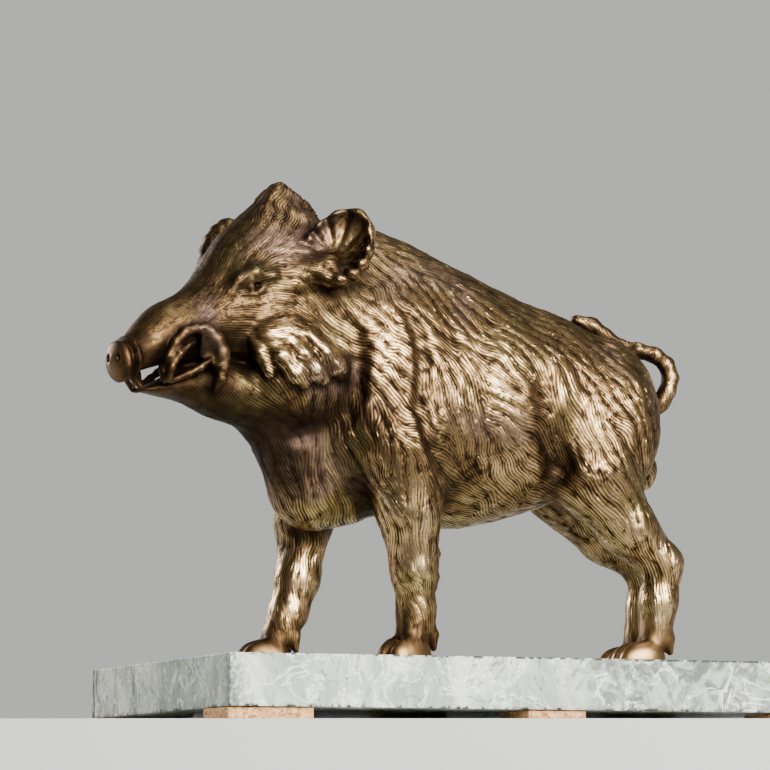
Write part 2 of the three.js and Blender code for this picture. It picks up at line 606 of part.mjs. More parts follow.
// Overlapping locks, each rising towards its tip, seeded over the skin and laid along the coat.
function raiseLocks(mesh, seed) {
  const { V } = mesh;
  const N = vertexNormals(mesh);
  const random = seededRandom(seed);
  const order = V.map((_, i) => i);
  for (let i = order.length - 1; i > 0; i--) {
    const j = Math.floor(random() * (i + 1));
    [order[i], order[j]] = [order[j], order[i]];
  }
  const size = LOCK_HALF_LENGTH;
  const key = (p) => Math.floor(p[0] / size) * 1e6 + Math.floor(p[1] / size) * 1e3 + Math.floor(p[2] / size);
  const bins = new Map();
  const around = (p, visit) => {
    for (const dx of [-1, 0, 1]) {
      for (const dy of [-1, 0, 1]) {
        for (const dz of [-1, 0, 1]) {
          const beside = key([p[0] + dx * size, p[1] + dy * size, p[2] + dz * size]);
          for (const s of bins.get(beside) || []) visit(s);
        }
      }
    }
  };
  for (const i of order) {
    let free = true;
    around(V[i], (s) => {
      if (Math.hypot(...sub(s.p, V[i])) < LOCK_SPACING) free = false;
    });
    if (!free) continue;
    const { d } = coatAt(V[i]);
    const n = N[i];
    const u = unit(sub(d, n.map((v) => v * dot(d, n))));
    const s = { p: V[i], n, u, b: cross(n, u), size: 0.85 + 0.35 * random(), bend: random() - 0.5 };
    const k = key(V[i]);
    if (!bins.has(k)) bins.set(k, []);
    bins.get(k).push(s);
  }
  const rise = V.map((p, i) => {
    const { height } = coatAt(p);
    if (height < 0.02) return 0;
    let best = 0;
    around(p, (s) => {
      if (dot(s.n, N[i]) < 0.3) return;
      const q = sub(p, s.p);
      const a = dot(q, s.u) / (LOCK_HALF_LENGTH * s.size);
      if (a < -1 || a > 1) return;
      const side = dot(q, s.b) / (LOCK_HALF_WIDTH * s.size) + s.bend * (a * a - 0.3);
      const half = a < 0 ? 1 : 1 - 0.75 * a;
      const across = 1 - (side / half) ** 2;
      if (across < 0) return;
      const along = a < 0.6 ? (a + 1) / 1.6 : (1 - a) / 0.4;
      best = Math.max(best, along * Math.sqrt(across));
    });
    return height * (best - 0.3) * 1.5;
  });
  V.forEach((p, i) => {
    for (let q = 0; q < 3; q++) p[q] += N[i][q] * rise[i];
  });
}

// ---------------------------------------------------------------- fewer facets
// Edges are shortened to a point, the flattest first, until the wanted number of facets is left.
// The error is the summed squared distance to the planes around each vertex.
function simplify({ V, F }, wanted) {
  const quadric = V.map(() => new Float64Array(10));
  const plane = (f) => {
    const m = cross(sub(V[f[1]], V[f[0]]), sub(V[f[2]], V[f[0]]));
    const area = Math.hypot(...m) || 1e-12;
    const n = m.map((v) => v / area);
    return { n, area, d: -dot(n, V[f[0]]) };
  };
  const faces = F.map((f) => [...f]);
  const around = V.map(() => new Set());
  faces.forEach((f, i) => {
    for (const v of f) around[v].add(i);
    const { n, area, d } = plane(f);
    const row = [...n, d];
    let q = 0;
    for (let a = 0; a < 4; a++) {
      for (let b = a; b < 4; b++) {
        for (const v of f) quadric[v][q] += area * row[a] * row[b];
        q++;
      }
    }
  });
  const cost = (Q, [x, y, z]) => Q[0] * x * x + 2 * Q[1] * x * y + 2 * Q[2] * x * z + 2 * Q[3] * x
    + Q[4] * y * y + 2 * Q[5] * y * z + 2 * Q[6] * y + Q[7] * z * z + 2 * Q[8] * z + Q[9];
  const best = (a, b) => {
    const Q = quadric[a].map((v, i) => v + quadric[b][i]);
    const r0 = [Q[0], Q[1], Q[2]];
    const r1 = [Q[1], Q[4], Q[5]];
    const r2 = [Q[2], Q[5], Q[7]];
    const det = dot(r0, cross(r1, r2));
    const scale = (Q[0] + Q[4] + Q[7]) ** 3;
    const middle = V[a].map((v, i) => (v + V[b][i]) / 2);
    const options = [V[a], V[b], middle];
    if (Math.abs(det) > 1e-4 * scale) {
      const rhs = [-Q[3], -Q[6], -Q[8]];
      const p = [dot(rhs, cross(r1, r2)) / det, dot(r0, cross(rhs, r2)) / det, dot(r0, cross(r1, rhs)) / det];
      // Cramer's rule uses rows because the matrix is symmetric
      const len = Math.hypot(...sub(V[a], V[b]));
      if (Math.hypot(...sub(p, middle)) < 1.5 * len) options.push(p);
    }
    let pick = null;
    for (const p of options) {
      const c = cost(Q, p);
      if (!pick || c < pick.c - 1e-12) pick = { c, p, Q };
    }
    return pick;
  };
  // binary heap of edges by cost
  const heap = [];
  const push = (e) => {
    heap.push(e);
    let i = heap.length - 1;
    while (i > 0) {
      const up = (i - 1) >> 1;
      if (heap[up].c <= heap[i].c) break;
      [heap[up], heap[i]] = [heap[i], heap[up]];
      i = up;
    }
  };
  const pop = () => {
    const first = heap[0];
    const last = heap.pop();
    if (!heap.length) return first;
    heap[0] = last;
    let i = 0;
    for (;;) {
      let low = i;
      for (const j of [2 * i + 1, 2 * i + 2]) if (j < heap.length && heap[j].c < heap[low].c) low = j;
      if (low === i) break;
      [heap[low], heap[i]] = [heap[i], heap[low]];
      i = low;
    }
    return first;
  };
  const stamp = new Int32Array(V.length);
  const neighbours = (v) => {
    const out = new Set();
    for (const i of around[v]) for (const w of faces[i]) if (w !== v) out.add(w);
    return out;
  };
  const queue = (a, b) => {
    const { c, p, Q } = best(a, b);
    const len = Math.hypot(...sub(V[a], V[b]));
    push({ c: c + 1e-5 * len * len, a, b, p, Q, sa: stamp[a], sb: stamp[b] });
  };
  V.forEach((_, v) => {
    for (const w of neighbours(v)) if (v < w) queue(v, w);
  });
  let count = faces.length;
  while (count > wanted && heap.length) {
    const e = pop();
    if (stamp[e.a] !== e.sa || stamp[e.b] !== e.sb) continue;
    const na = neighbours(e.a);
    const nb = neighbours(e.b);
    let shared = 0;
    for (const w of na) if (nb.has(w)) shared++;
    if (shared !== 2) continue;
    let good = true;
    for (const [v, other] of [[e.a, e.b], [e.b, e.a]]) {
      for (const i of around[v]) {
        const f = faces[i];
        if (f.includes(other)) continue;
        const before = cross(sub(V[f[1]], V[f[0]]), sub(V[f[2]], V[f[0]]));
        const T = f.map((w) => (w === v ? e.p : V[w]));
        const after = cross(sub(T[1], T[0]), sub(T[2], T[0]));
        const size = Math.hypot(...after);
        const edge = Math.max(...[0, 1, 2].map((q) => Math.hypot(...sub(T[q], T[(q + 1) % 3]))));
        const folded = dot(before, after) < 0.25 * Math.hypot(...before) * size;
        if (folded || size < 0.06 * edge * edge) good = false;
      }
    }
    if (!good) continue;
    V[e.a] = e.p;
    quadric[e.a] = e.Q;
    for (const i of around[e.b]) {
      const f = faces[i];
      if (f.includes(e.a)) {
        for (const w of f) around[w].delete(i);
        faces[i] = null;
        count--;
      } else {
        f[f.indexOf(e.b)] = e.a;
        around[e.a].add(i);
      }
    }
    around[e.b] = new Set();
    stamp[e.a]++;
    stamp[e.b]++;
    for (const w of neighbours(e.a)) queue(e.a, w);
  }
  const index = new Map();
  const out = { V: [], F: [] };
  for (const f of faces) {
    if (!f) continue;
    out.F.push(f.map((v) => {
      if (!index.has(v)) {
        index.set(v, out.V.length);
        out.V.push(V[v]);
      }
      return index.get(v);
    }));
  }
  return out;
}

function asGeometry({ V, F }) {
  const g = new THREE.BufferGeometry();
  g.setAttribute('position', new THREE.Float32BufferAttribute(V.flat(), 3));
  g.setIndex(F.flat());
  g.computeVertexNormals();
  return g;
}

// ---------------------------------------------------------------- materials
const bronze = new THREE.MeshStandardMaterial({ color: 0x6b5436, roughness: 0.38, metalness: 1 });
const marble = new THREE.MeshStandardMaterial({ color: 0xb4b8b0, roughness: 0.25, metalness: 0 });
const cork = new THREE.MeshStandardMaterial({ color: 0xb98a55, roughness: 0.9, metalness: 0 });

// ---------------------------------------------------------------- assembly
const work = new THREE.Group();
const put = (name, geometry, material, x, y, z) => {
  const mesh = new THREE.Mesh(geometry, material);
  mesh.name = name;
  mesh.position.set(x, y, z);
  work.add(mesh);
  return mesh;
};

const clay = boarClay();
const form = (x, y, z) => Math.max(clay.at(x, y, z), GAP - z);
const boarMesh = largestShell(skin(form, [-252, -82, -4.2], [166, 84, 302], GRID));
raiseLocks(boarMesh, 7);
for (const p of boarMesh.V) p[2] = Math.max(p[2], GAP);
const facets = simplify(boarMesh, BOAR_TRIANGLES);
for (const p of facets.V) p[2] = Math.max(p[2], GAP);
const boar = asGeometry(facets);
boar.computeBoundingBox();
const left = Math.min(boar.boundingBox.min.x, -SLAB_L / 2);
const right = Math.max(boar.boundingBox.max.x, SLAB_L / 2);
const shift = -(left + right) / 2;   // the slab and the boar share one footprint centre

put('boar', boar, bronze, shift, 0, SLAB_TOP);

function slabGeometry() {
  const a = SLAB_ARRIS;
  const s = new THREE.Shape();
  const x = SLAB_L / 2 - a;
  const y = SLAB_W / 2 - a;
  s.moveTo(-x, -y);
  s.lineTo(x, -y);
  s.lineTo(x, y);
  s.lineTo(-x, y);
  s.closePath();
  const g = new THREE.ExtrudeGeometry(s, {
    depth: SLAB_T - 2 * a, bevelEnabled: true, bevelSegments: 1, bevelSize: a, bevelThickness: a,
  });
  g.translate(0, 0, a);
  return g;
}
put('marble_base', slabGeometry(), marble, shift, 0, PAD_T + GAP);

let number = 1;
for (const y of [-PAD_Y, PAD_Y]) {
  for (const [x, length] of PADS) {
    put(`cork_pad_${number}`, new THREE.BoxGeometry(length, PAD_W, PAD_T), cork, x + shift, y, PAD_T / 2);
    number += 1;
  }
}

export default work;
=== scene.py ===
import math

import bmesh
import bpy
import numpy as np
from mathutils import Matrix, Vector


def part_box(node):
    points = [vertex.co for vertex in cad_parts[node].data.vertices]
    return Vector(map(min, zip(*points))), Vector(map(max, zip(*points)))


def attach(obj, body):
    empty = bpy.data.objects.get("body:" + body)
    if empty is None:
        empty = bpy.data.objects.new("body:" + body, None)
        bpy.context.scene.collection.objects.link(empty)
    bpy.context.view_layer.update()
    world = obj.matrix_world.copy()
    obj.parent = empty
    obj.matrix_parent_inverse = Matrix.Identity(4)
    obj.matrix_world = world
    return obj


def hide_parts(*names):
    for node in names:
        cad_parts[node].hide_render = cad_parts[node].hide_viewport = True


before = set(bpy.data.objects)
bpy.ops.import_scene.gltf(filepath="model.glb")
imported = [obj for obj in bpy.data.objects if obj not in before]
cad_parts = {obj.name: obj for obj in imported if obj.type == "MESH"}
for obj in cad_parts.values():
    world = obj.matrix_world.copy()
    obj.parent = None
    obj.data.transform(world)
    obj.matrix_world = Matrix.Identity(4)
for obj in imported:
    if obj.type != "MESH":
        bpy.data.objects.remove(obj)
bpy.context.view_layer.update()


# ---------------------------------------------------------------- cork pads
# Six sawn squares of agglomerated cork, glued under the slab to spare the furniture.
# Ground cork grains pressed with a binder: tan, with darker bark specks and small voids.

class Value:
    """A socket carrying a number; arithmetic on it adds Math nodes."""

    def __init__(self, nodes, socket):
        self.nodes, self.socket = nodes, socket

    def _math(self, operation, *values):
        inputs = dict(enumerate(values))
        return self.nodes.node("ShaderNodeMath", {"operation": operation}, inputs, 0)

    def __add__(self, other):
        return self._math("ADD", self, other)

    def __radd__(self, other):
        return self._math("ADD", other, self)

    def __sub__(self, other):
        return self._math("SUBTRACT", self, other)

    def __rsub__(self, other):
        return self._math("SUBTRACT", other, self)

    def __mul__(self, other):
        return self._math("MULTIPLY", self, other)

    def __rmul__(self, other):
        return self._math("MULTIPLY", other, self)

    def __abs__(self):
        return self._math("ABSOLUTE", self)

    def clamped(self):
        return self._math("MINIMUM", self._math("MAXIMUM", self, 0.0), 1.0)


class Nodes:
    """A tree of shader nodes; node() adds any node to it."""

    def __init__(self, tree):
        self.tree = tree

    def plug(self, node, inputs):
        for name, value in inputs.items():
            if isinstance(value, Value):
                self.tree.links.new(value.socket, node.inputs[name])
            else:
                node.inputs[name].default_value = value

    def node(self, kind, settings, inputs, output):
        node = self.tree.nodes.new(kind)
        for name, setting in settings.items():
            if name == "stops":
                ramp = node.color_ramp.elements
                while len(ramp) < len(setting):
                    ramp.new(0.5)
                for stop, (at, colour) in zip(ramp, setting):
                    stop.position, stop.color = at, (*colour, 1.0)
            else:
                setattr(node, name, setting)
        self.plug(node, inputs)
        return Value(self, node.outputs[output])

    def blend(self, mask, low, high):
        low, high = [c if isinstance(c, Value) else (*c, 1.0) for c in (low, high)]
        return self.node("ShaderNodeMix", {"data_type": "RGBA"}, {0: mask, 6: low, 7: high}, 2)

    def between(self, value, low, high, to_low=0.0, to_high=1.0):
        inputs = {"Value": value, "From Min": low, "From Max": high, "To Min": to_low, "To Max": to_high}
        return self.node("ShaderNodeMapRange", {"clamp": True}, inputs, 0)


class Finish(Nodes):
    """A material with one glossy surface; values in fixed are the same all over."""

    def __init__(self, name, **fixed):
        self.material = bpy.data.materials.new(name)
        self.material.use_nodes = True
        super().__init__(self.material.node_tree)
        self.tree.nodes.clear()
        output = self.tree.nodes.new("ShaderNodeOutputMaterial")
        self.surface = self.tree.nodes.new("ShaderNodeBsdfPrincipled")
        self.tree.links.new(self.surface.outputs[0], output.inputs[0])
        self.place = self.node("ShaderNodeTexCoord", {}, {}, "Object")
        self.wear(fixed)

    def wear(self, inputs):
        self.plug(self.surface, inputs)

    def grain(self, scale, detail=3.0, roughness=0.5, place=None, distortion=0.0):
        inputs = {"Vector": place or self.place, "Scale": scale, "Detail": detail, "Roughness": roughness,
                  "Distortion": distortion}
        return self.node("ShaderNodeTexNoise", {}, inputs, "Fac")

    def bump(self, height, strength, distance):
        inputs = {"Height": height, "Strength": strength, "Distance": distance}
        self.wear({"Normal": self.node("ShaderNodeBump", {}, inputs, 0)})


def cork():
    c = Finish("Agglomerated cork", **{"Roughness": 0.85, "Specular IOR Level": 0.25})
    crumbs = {"Vector": c.place, "Scale": 620.0}
    cells = c.node("ShaderNodeTexVoronoi", {}, crumbs, "Color")
    grain = c.node("ShaderNodeSeparateColor", {}, {0: cells}, 0)
    tan = c.node("ShaderNodeValToRGB", {"stops": [
        (0.0, (0.30, 0.13, 0.05)), (0.35, (0.52, 0.26, 0.10)), (0.8, (0.66, 0.38, 0.17)),
        (1.0, (0.72, 0.46, 0.24))]}, {0: grain}, 0)
    bark = c.between(c.grain(900.0, 2.0), 0.66, 0.72)
    c.wear({"Base Color": c.blend(bark, tan, (0.06, 0.03, 0.015))})
    edge = c.node("ShaderNodeTexVoronoi", {"feature": "DISTANCE_TO_EDGE"}, crumbs, 0)
    c.bump(c.between(edge, 0.0, 0.12) - bark * 1.5, 0.5, 0.0004)
    return c.material


def sawn_block(name, low, high, edge, cuts, wobble, seed):
    """A block between two corners with softened edges and faces that aren't quite true."""
    low, high = np.array(low), np.array(high)
    mesh = bpy.data.meshes.new(name)
    bm = bmesh.new()
    bmesh.ops.create_cube(bm, size=1.0)
    for v in bm.verts:
        v.co = Vector((low + high) / 2 + np.array(v.co) * (high - low))
    bmesh.ops.bevel(bm, geom=bm.edges[:], offset=edge, segments=2, profile=0.6, affect="EDGES")
    bmesh.ops.subdivide_edges(bm, edges=[e for e in bm.edges if e.calc_length() > 0.01], cuts=cuts,
                              use_grid_fill=True)
    rng = np.random.default_rng(seed)
    middle = Vector((low + high) / 2)
    for v in bm.verts:
        inward = (middle - v.co) * 2
        v.co += Vector([inward[i] / (high - low)[i] * wobble * rng.random() for i in range(3)])
    bmesh.ops.triangulate(bm, faces=[f for f in bm.faces if len(f.verts) > 4])
    bm.to_mesh(mesh)
    bm.free()
    piece = bpy.data.objects.new(name, mesh)
    bpy.context.collection.objects.link(piece)
    return piece


cork_finish = cork()
for number in range(1, 7):
    low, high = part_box(f"cork_pad_{number}")
    pad = sawn_block(f"cork_foot_{number}", low, high, edge=0.0006, cuts=9, wobble=0.00025, seed=number)
    pad.data.materials.append(cork_finish)
    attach(pad, "root")
    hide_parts(f"cork_pad_{number}")


# ---------------------------------------------------------------- marble slab
# One sawn slab of pale grey-green marble, polished on the top and all four sides.
# The arrises are barely broken by hand and chipped by years of use.
slab_low, slab_high = [np.array(corner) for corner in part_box("marble_base")]
slab_middle = (slab_low + slab_high) / 2
FLAKES = 54


def polished_marble():
    m = Finish("Polished grey-green marble", **{"Specular IOR Level": 0.32})
    x, y, z = [m.node("ShaderNodeSeparateXYZ", {}, {0: m.place}, i) for i in range(3)]
    leaning = m.node("ShaderNodeMapping", {}, {
        "Vector": m.place, "Rotation": (0.0, 0.6, 0.3), "Scale": (1.0, 0.45, 0.55)}, 0)
    cloud = m.grain(26.0, 6.0, 0.62, leaning, 0.9)
    speck = m.grain(210.0, 6.0, 0.7, None, 0.6)
    stone = m.blend(m.between(cloud, 0.41, 0.59), (0.30, 0.35, 0.27), (0.64, 0.67, 0.55))
    stone = m.blend(m.between(speck, 0.5, 0.72) * 0.35, stone, (0.30, 0.34, 0.31))
    # greyer, mottled bed through the right-hand part of the slab
    bed = m.between(x + 0.05 * m.grain(14.0, 4.0, 0.6, None, 0.5), 0.055, 0.085)
    mottle = m.between(m.grain(75.0, 7.0, 0.72, None, 1.2), 0.44, 0.58)
    stone = m.blend(bed * 0.85, stone, m.blend(mottle, (0.10, 0.10, 0.095), (0.40, 0.44, 0.35)))
    # darker streaks standing nearly upright across the left-hand end
    upright = m.node("ShaderNodeMapping", {}, {"Vector": m.place, "Scale": (1.0, 1.0, 0.16)}, 0)
    streak = m.between(m.grain(95.0, 5.0, 0.65, upright, 0.7), 0.5, 0.68)
    left = m.between(x, -0.125, -0.16)
    stone = m.blend(streak * left * 0.85, stone, (0.10, 0.13, 0.10))
    # thin dark veins and thicker milky ones
    bent = m.grain(17.0, 5.0, 0.6, leaning, 1.6)
    thread = m.between(abs(bent - 0.5), 0.02, 0.0)
    stone = m.blend(thread * m.between(speck, 0.40, 0.56) * 0.85, stone, (0.10, 0.12, 0.11))
    milk = m.between(abs(m.grain(31.0, 5.0, 0.6, None, 1.2) - 0.52), 0.02, 0.0)
    stone = m.blend(milk * 0.85, stone, (0.86, 0.88, 0.80))
    # dark grains gathered at the near corner and in the far end of the left side
    corner = m.between(x, -0.152, -0.1655) * m.between(y, -0.112, -0.129)
    grains = m.between(m.grain(520.0, 4.0, 0.6), 0.46, 0.54)
    stone = m.blend(corner * grains * 0.85, stone, (0.09, 0.085, 0.085))
    pocket = m.between(y, 0.108, 0.122) * m.between(x, -0.160, -0.165)
    pocket = pocket * m.between(m.grain(90.0, 4.0, 0.7, upright), 0.52, 0.57)
    stone = m.blend(pocket, stone, (0.012, 0.02, 0.016))
    # broken arrises, dark with old dirt and wax
    top = m.between(z, float(slab_high[2]) - 0.0016, float(slab_high[2]) - 0.0007)
    foot = m.between(z, float(slab_low[2]) + 0.0022, float(slab_low[2]) + 0.0008)
    rims = []
    for here, i in ((x, 0), (y, 1)):
        reach = float(slab_high[i] - slab_middle[i])
        rims.append(m.between(abs(here - float(slab_middle[i])), reach - 0.0035, reach - 0.0012))
    rim = (rims[0] + rims[1]).clamped()
    ragged = m.grain(160.0, 5.0, 0.75)
    dirt = rim * (top * m.between(ragged + x * 0.35, 0.50, 0.54) + foot * m.between(ragged, 0.50, 0.56))
    stone = m.blend(dirt.clamped(), stone, (0.022, 0.024, 0.018))
    m.wear({"Base Color": stone, "Roughness": m.between(speck, 0.3, 0.7, 0.2, 0.36)})
    m.bump(speck, 0.12, 0.0002)
    return m.material


def slab_with_chips():
    mesh = bpy.data.meshes.new("marble_slab")
    bm = bmesh.new()
    bmesh.ops.create_cube(bm, size=1.0)
    for v in bm.verts:
        v.co = Vector(slab_middle + np.array(v.co) * (slab_high - slab_low))
    bmesh.ops.bevel(bm, geom=bm.edges[:], offset=0.0007, segments=2, profile=0.5, affect="EDGES")
    bm.to_mesh(mesh)
    bm.free()
    piece = bpy.data.objects.new("marble_slab", mesh)
    bpy.context.collection.objects.link(piece)

    # flakes knocked off the arrises: lumps sunk a millimetre or so into the edge
    rng = np.random.default_rng(21)
    flakes = bmesh.new()
    for _ in range(FLAKES):
        along = rng.integers(0, 2)
        spot = slab_low + rng.random(3) * (slab_high - slab_low)
        side = rng.integers(0, 2)
        spot[1 - along] = (slab_low, slab_high)[side][1 - along]
        spot[2] = (slab_low, slab_high)[rng.random() < 0.45][2]
        out = np.array([0.0, 0.0, np.sign(spot[2] - slab_middle[2])])
        out[1 - along] = 2 * side - 1
        size = 0.0009 + 0.0016 * rng.random() ** 2
        flake = bmesh.ops.create_icosphere(flakes, subdivisions=2, radius=1.0)["verts"]
        stretch = np.ones(3)
        stretch[along] = 1.2 + 2.2 * rng.random()
        for v in flake:
            rough = size * (0.75 + 0.5 * rng.random())
            v.co = Vector(spot + out * size * 0.35 + np.array(v.co) * stretch * rough)
    cutter_mesh = bpy.data.meshes.new("flakes")
    flakes.to_mesh(cutter_mesh)
    flakes.free()
    cutter = bpy.data.objects.new("flakes", cutter_mesh)
    bpy.context.collection.objects.link(cutter)
    knock = piece.modifiers.new("Chips", "BOOLEAN")
    knock.operation, knock.object, knock.solver, knock.use_self = "DIFFERENCE", cutter, "EXACT", True
    chipped = bpy.data.meshes.new_from_object(piece.evaluated_get(bpy.context.evaluated_depsgraph_get()))
    piece.modifiers.clear()
    piece.data = chipped
    chipped.name = "marble_slab_chipped"
    bpy.data.objects.remove(cutter)
    bpy.data.meshes.remove(cutter_mesh)
    bpy.data.meshes.remove(mesh)
    bm = bmesh.new()
    bm.from_mesh(chipped)
    bmesh.ops.triangulate(bm, faces=bm.faces[:])
    bm.to_mesh(chipped)
    bm.free()
    return piece


slab = slab_with_chips()
slab.data.materials.append(polished_marble())
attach(slab, "root")
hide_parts("marble_base")


# ---------------------------------------------------------------- boar
# One hollow lost-wax bronze cast with its ears, tusks, teeth and tail, chased all over in the wax
# with combed locks of hair, patinated dark brown and rubbed golden on the high places.
# It is modelled in millimetres from the middle of the slab's top; the head has a frame of its own.
ORIGIN = np.array([slab_middle[0], slab_middle[1], slab_high[2]])
SNOUT = (-234, -56, 170)
HEAD_TURN, HEAD_DROP = 20.7, 20.0
HOOF_GAP = 0.3


def unit(v):
    v = np.asarray(v, float)
    return v / np.maximum(np.linalg.norm(v, axis=-1, keepdims=True), 1e-12)


def turned(yaw=0.0, pitch=0.0, roll=0.0):
    """Rows are the local axes: yaw about Z, then nose up by pitch, then roll."""
    cy, cp, cr = np.cos(np.radians([yaw, pitch, roll]))
    sy, sp, sr = np.sin(np.radians([yaw, pitch, roll]))
    x = np.array([cy * cp, sy * cp, sp])
    y = np.array([-sy, cy, 0.0])
    z = np.array([-cy * sp, -sy * sp, cp])
    return np.array([x, y * cr + z * sr, z * cr - y * sr])


HEAD_AXES = turned(HEAD_TURN, HEAD_DROP)


def to_head(points):
    return (points - SNOUT) @ HEAD_AXES.T


def from_head(q):
    return SNOUT + np.asarray(q, float) @ HEAD_AXES


def soft_min(a, b, k):
    h = np.clip(0.5 + 0.5 * (b - a) / k, 0, 1)
    return b + (a - b) * h - k * h * (1 - h)


def soft_max(a, b, k):
    return -soft_min(-a, -b, k)


class Shape:
    """A distance to a form, with a ball around it outside which it needn't be asked."""

    def __init__(self, distance, middle=(0, 0, 0), reach=1e6):
        self.distance, self.middle, self.reach = distance, np.asarray(middle, float), reach


def egg(middle, radii, turn=(0, 0, 0)):
    axes, radii = turned(*turn), np.array(radii, float)

    def distance(p):
        q = (p - middle) @ axes.T
        k0 = np.sqrt(((q / radii) ** 2).sum(1))
        k1 = np.sqrt(((q / radii ** 2) ** 2).sum(1))
        return k0 * (k0 - 1) / np.maximum(k1, 1e-9)
    return Shape(distance, middle, radii.max())


def bar(points, k):
    """A bar through (x, y, z, radius) points, its stretches blended by k."""
    points = np.array(points, float)

    def distance(p):
        best = None
        for a, b in zip(points[:-1], points[1:]):
            d = b[:3] - a[:3]
            t = np.clip(((p - a[:3]) @ d) / (d @ d), 0, 1)
            e = np.linalg.norm(p - a[:3] - t[:, None] * d, axis=1) - a[3] - t * (b[3] - a[3])
            best = e if best is None else soft_min(best, e, k)
        return best
    middle = points[:, :3].mean(0)
    reach = (np.linalg.norm(points[:, :3] - middle, axis=1) + points[:, 3]).max()
    return Shape(distance, middle, reach)


def through_stations(x, stations, column):
    """Smooth curve through one column of the stations."""
    X, Y = np.array(stations, float)[:, [0, column]].T
    slope = np.empty_like(Y)
    slope[1:-1] = (Y[2:] - Y[:-2]) / (X[2:] - X[:-2])
    slope[0], slope[-1] = (Y[1] - Y[0]) / (X[1] - X[0]), (Y[-1] - Y[-2]) / (X[-1] - X[-2])
    i = np.clip(np.searchsorted(X, x, side="right") - 1, 0, len(X) - 2)
    h = X[i + 1] - X[i]
    t = np.clip((x - X[i]) / h, 0, 1)
    return ((2 * t ** 3 - 3 * t ** 2 + 1) * Y[i] + (t ** 3 - 2 * t ** 2 + t) * h * slope[i]
            + (3 * t ** 2 - 2 * t ** 3) * Y[i + 1] + (t ** 3 - t ** 2) * h * slope[i + 1])


def loft(stations, front, back, ridge):
    """Oval sections along x. Stations: x, top, bottom, half width, y of the middle."""
    def distance(p):
        x = np.clip(p[:, 0], stations[0][0], stations[-1][0])
        top, bottom, half, mid = [through_stations(x, stations, c) for c in (1, 2, 3, 4)]
        h = (top - bottom) / 2
        v = (p[:, 2] - (top + bottom) / 2) / h
        w = half * (1 - ridge * np.clip(v, 0, 1.2) ** 2)
        e = np.where(p[:, 0] < x, front, back)
        q0, q1 = (p[:, 0] - x) / e, (p[:, 1] - mid) / w
        k0 = np.sqrt(q0 ** 2 + q1 ** 2 + v ** 2)
        k1 = np.sqrt((q0 / e) ** 2 + (q1 / w) ** 2 + (v / h) ** 2)
        return k0 * (k0 - 1) / np.maximum(k1, 1e-9)
    return Shape(distance)


class Clay:
    """Forms added and cut away one after another, each with a soft joint k wide."""

    def __init__(self):
        self.steps = []

    def add(self, shape, k):
        self.steps.append((shape, k, False))

    def cut(self, shape, k):
        self.steps.append((shape, k, True))

    def distance(self, p):
        d = np.full(len(p), 1e3)
        for shape, k, cut in self.steps:
            near = np.linalg.norm(p - shape.middle, axis=1) - shape.reach
            i = np.nonzero(near < (k - d if cut else d + k))[0]
            if len(i) and cut:
                d[i] = soft_max(d[i], -shape.distance(p[i]), k)
            elif len(i):
                d[i] = soft_min(d[i], shape.distance(p[i]), k)
        return d


SKULL = [(8, 9.5, -10, 10.5, 0), (22, 17.5, -10.5, 14, 0), (36, 23, -12, 16.5, 0), (58, 25.5, -20, 19.5, 0),
         (74, 32, -24, 23, 0), (92, 44, -34, 28, 0), (110, 53, -44, 33, 0), (128, 57, -50, 37, 0),
         (146, 57, -50, 38, 0)]
JAW = [(11, -19.5, -22, 5.5, 0), (22, -19, -27.5, 9.5, 0), (42, -16, -38, 14.5, 0), (60, -14, -52, 19.5, 0),
       (85, -26, -64, 25, 0), (115, -40, -69, 31, 0)]
# Outline of the wedge of bristles between the ears, in s and h.
CREST = [(108, 18), (108, 47), (128, 57.5), (141, 66.5), (154, 69.5), (169, 50), (169, 18)]
# The flared fold at the corner of the mouth; further down the tops of its pleats, the lips and the tusk.
LIP_FOLD = [(47, 19.5, 4.5, 3), (53, 21.5, 1.5, 4), (57, 22.5, -5, 4.8), (58, 23, -13, 4.8),
            (55.5, 23.5, -21, 4.2), (52.5, 23, -28, 3.4), (49.5, 20, -33, 2)]
# Four lobes of the whiskers that hang from the cheek over the jowl.
WHISKERS = [[(84, 22, -9, 3), (83.5, 27, -21, 5), (83, 31, -33, 4)],
            [(89, 29, -12, 3.5), (91, 35, -26, 6.2), (95, 39, -38, 6), (99, 40.5, -44.5, 4)],
            [(98, 35, -15, 4), (102, 40.5, -29, 6.5), (107, 42.5, -40, 6.5), (112, 43, -46.5, 4)],
            [(111, 40, -18, 4), (115, 43.5, -31, 6.5), (121, 45, -41, 6), (126, 44.5, -46, 3.5)]]
PLEATS = [(50, 23.3, 4), (54.5, 24.6, 0.5), (58, 25.4, -5), (59.3, 26, -11.5), (58.3, 26, -18),
          (55, 25.6, -24)]
UPPER_LIP = [(22.5, 15, -10, 2), (24.5, 17.2, -5.5, 2.6), (31, 18.8, 0.8, 3), (38.5, 19.8, 4.6, 3),
             (46, 21, 4.6, 2.6)]
LOWER_LIP = [(23, 14.5, -20, 1.8), (34, 17.5, -19, 2.2), (43, 20.5, -17.5, 2.2), (50, 22.5, -15, 1.2)]
TUSK = [(21.3, 15, -18, 2.6), (23, 18.6, -11.8, 2.3), (29.5, 21.6, -5.8, 2.1), (37, 22.4, -2.8, 1.6),
        (43, 21, -2, 0.8)]


def crest():
    """The wedge of bristles between the ears."""
    def distance(q):
        s, l, h = q.T
        d = None
        for (x0, y0), (x1, y1) in zip(CREST, CREST[1:] + CREST[:1]):
            e = ((x1 - x0) * (h - y0) - (y1 - y0) * (s - x0)) / math.hypot(x1 - x0, y1 - y0)
            d = e if d is None else soft_max(d, e, 2)
        return soft_max(d, np.abs(l) - (12.5 - np.clip(h - 40, 0, 40) * 0.24), 3)
    return Shape(distance, (138, 0, 44), 48)


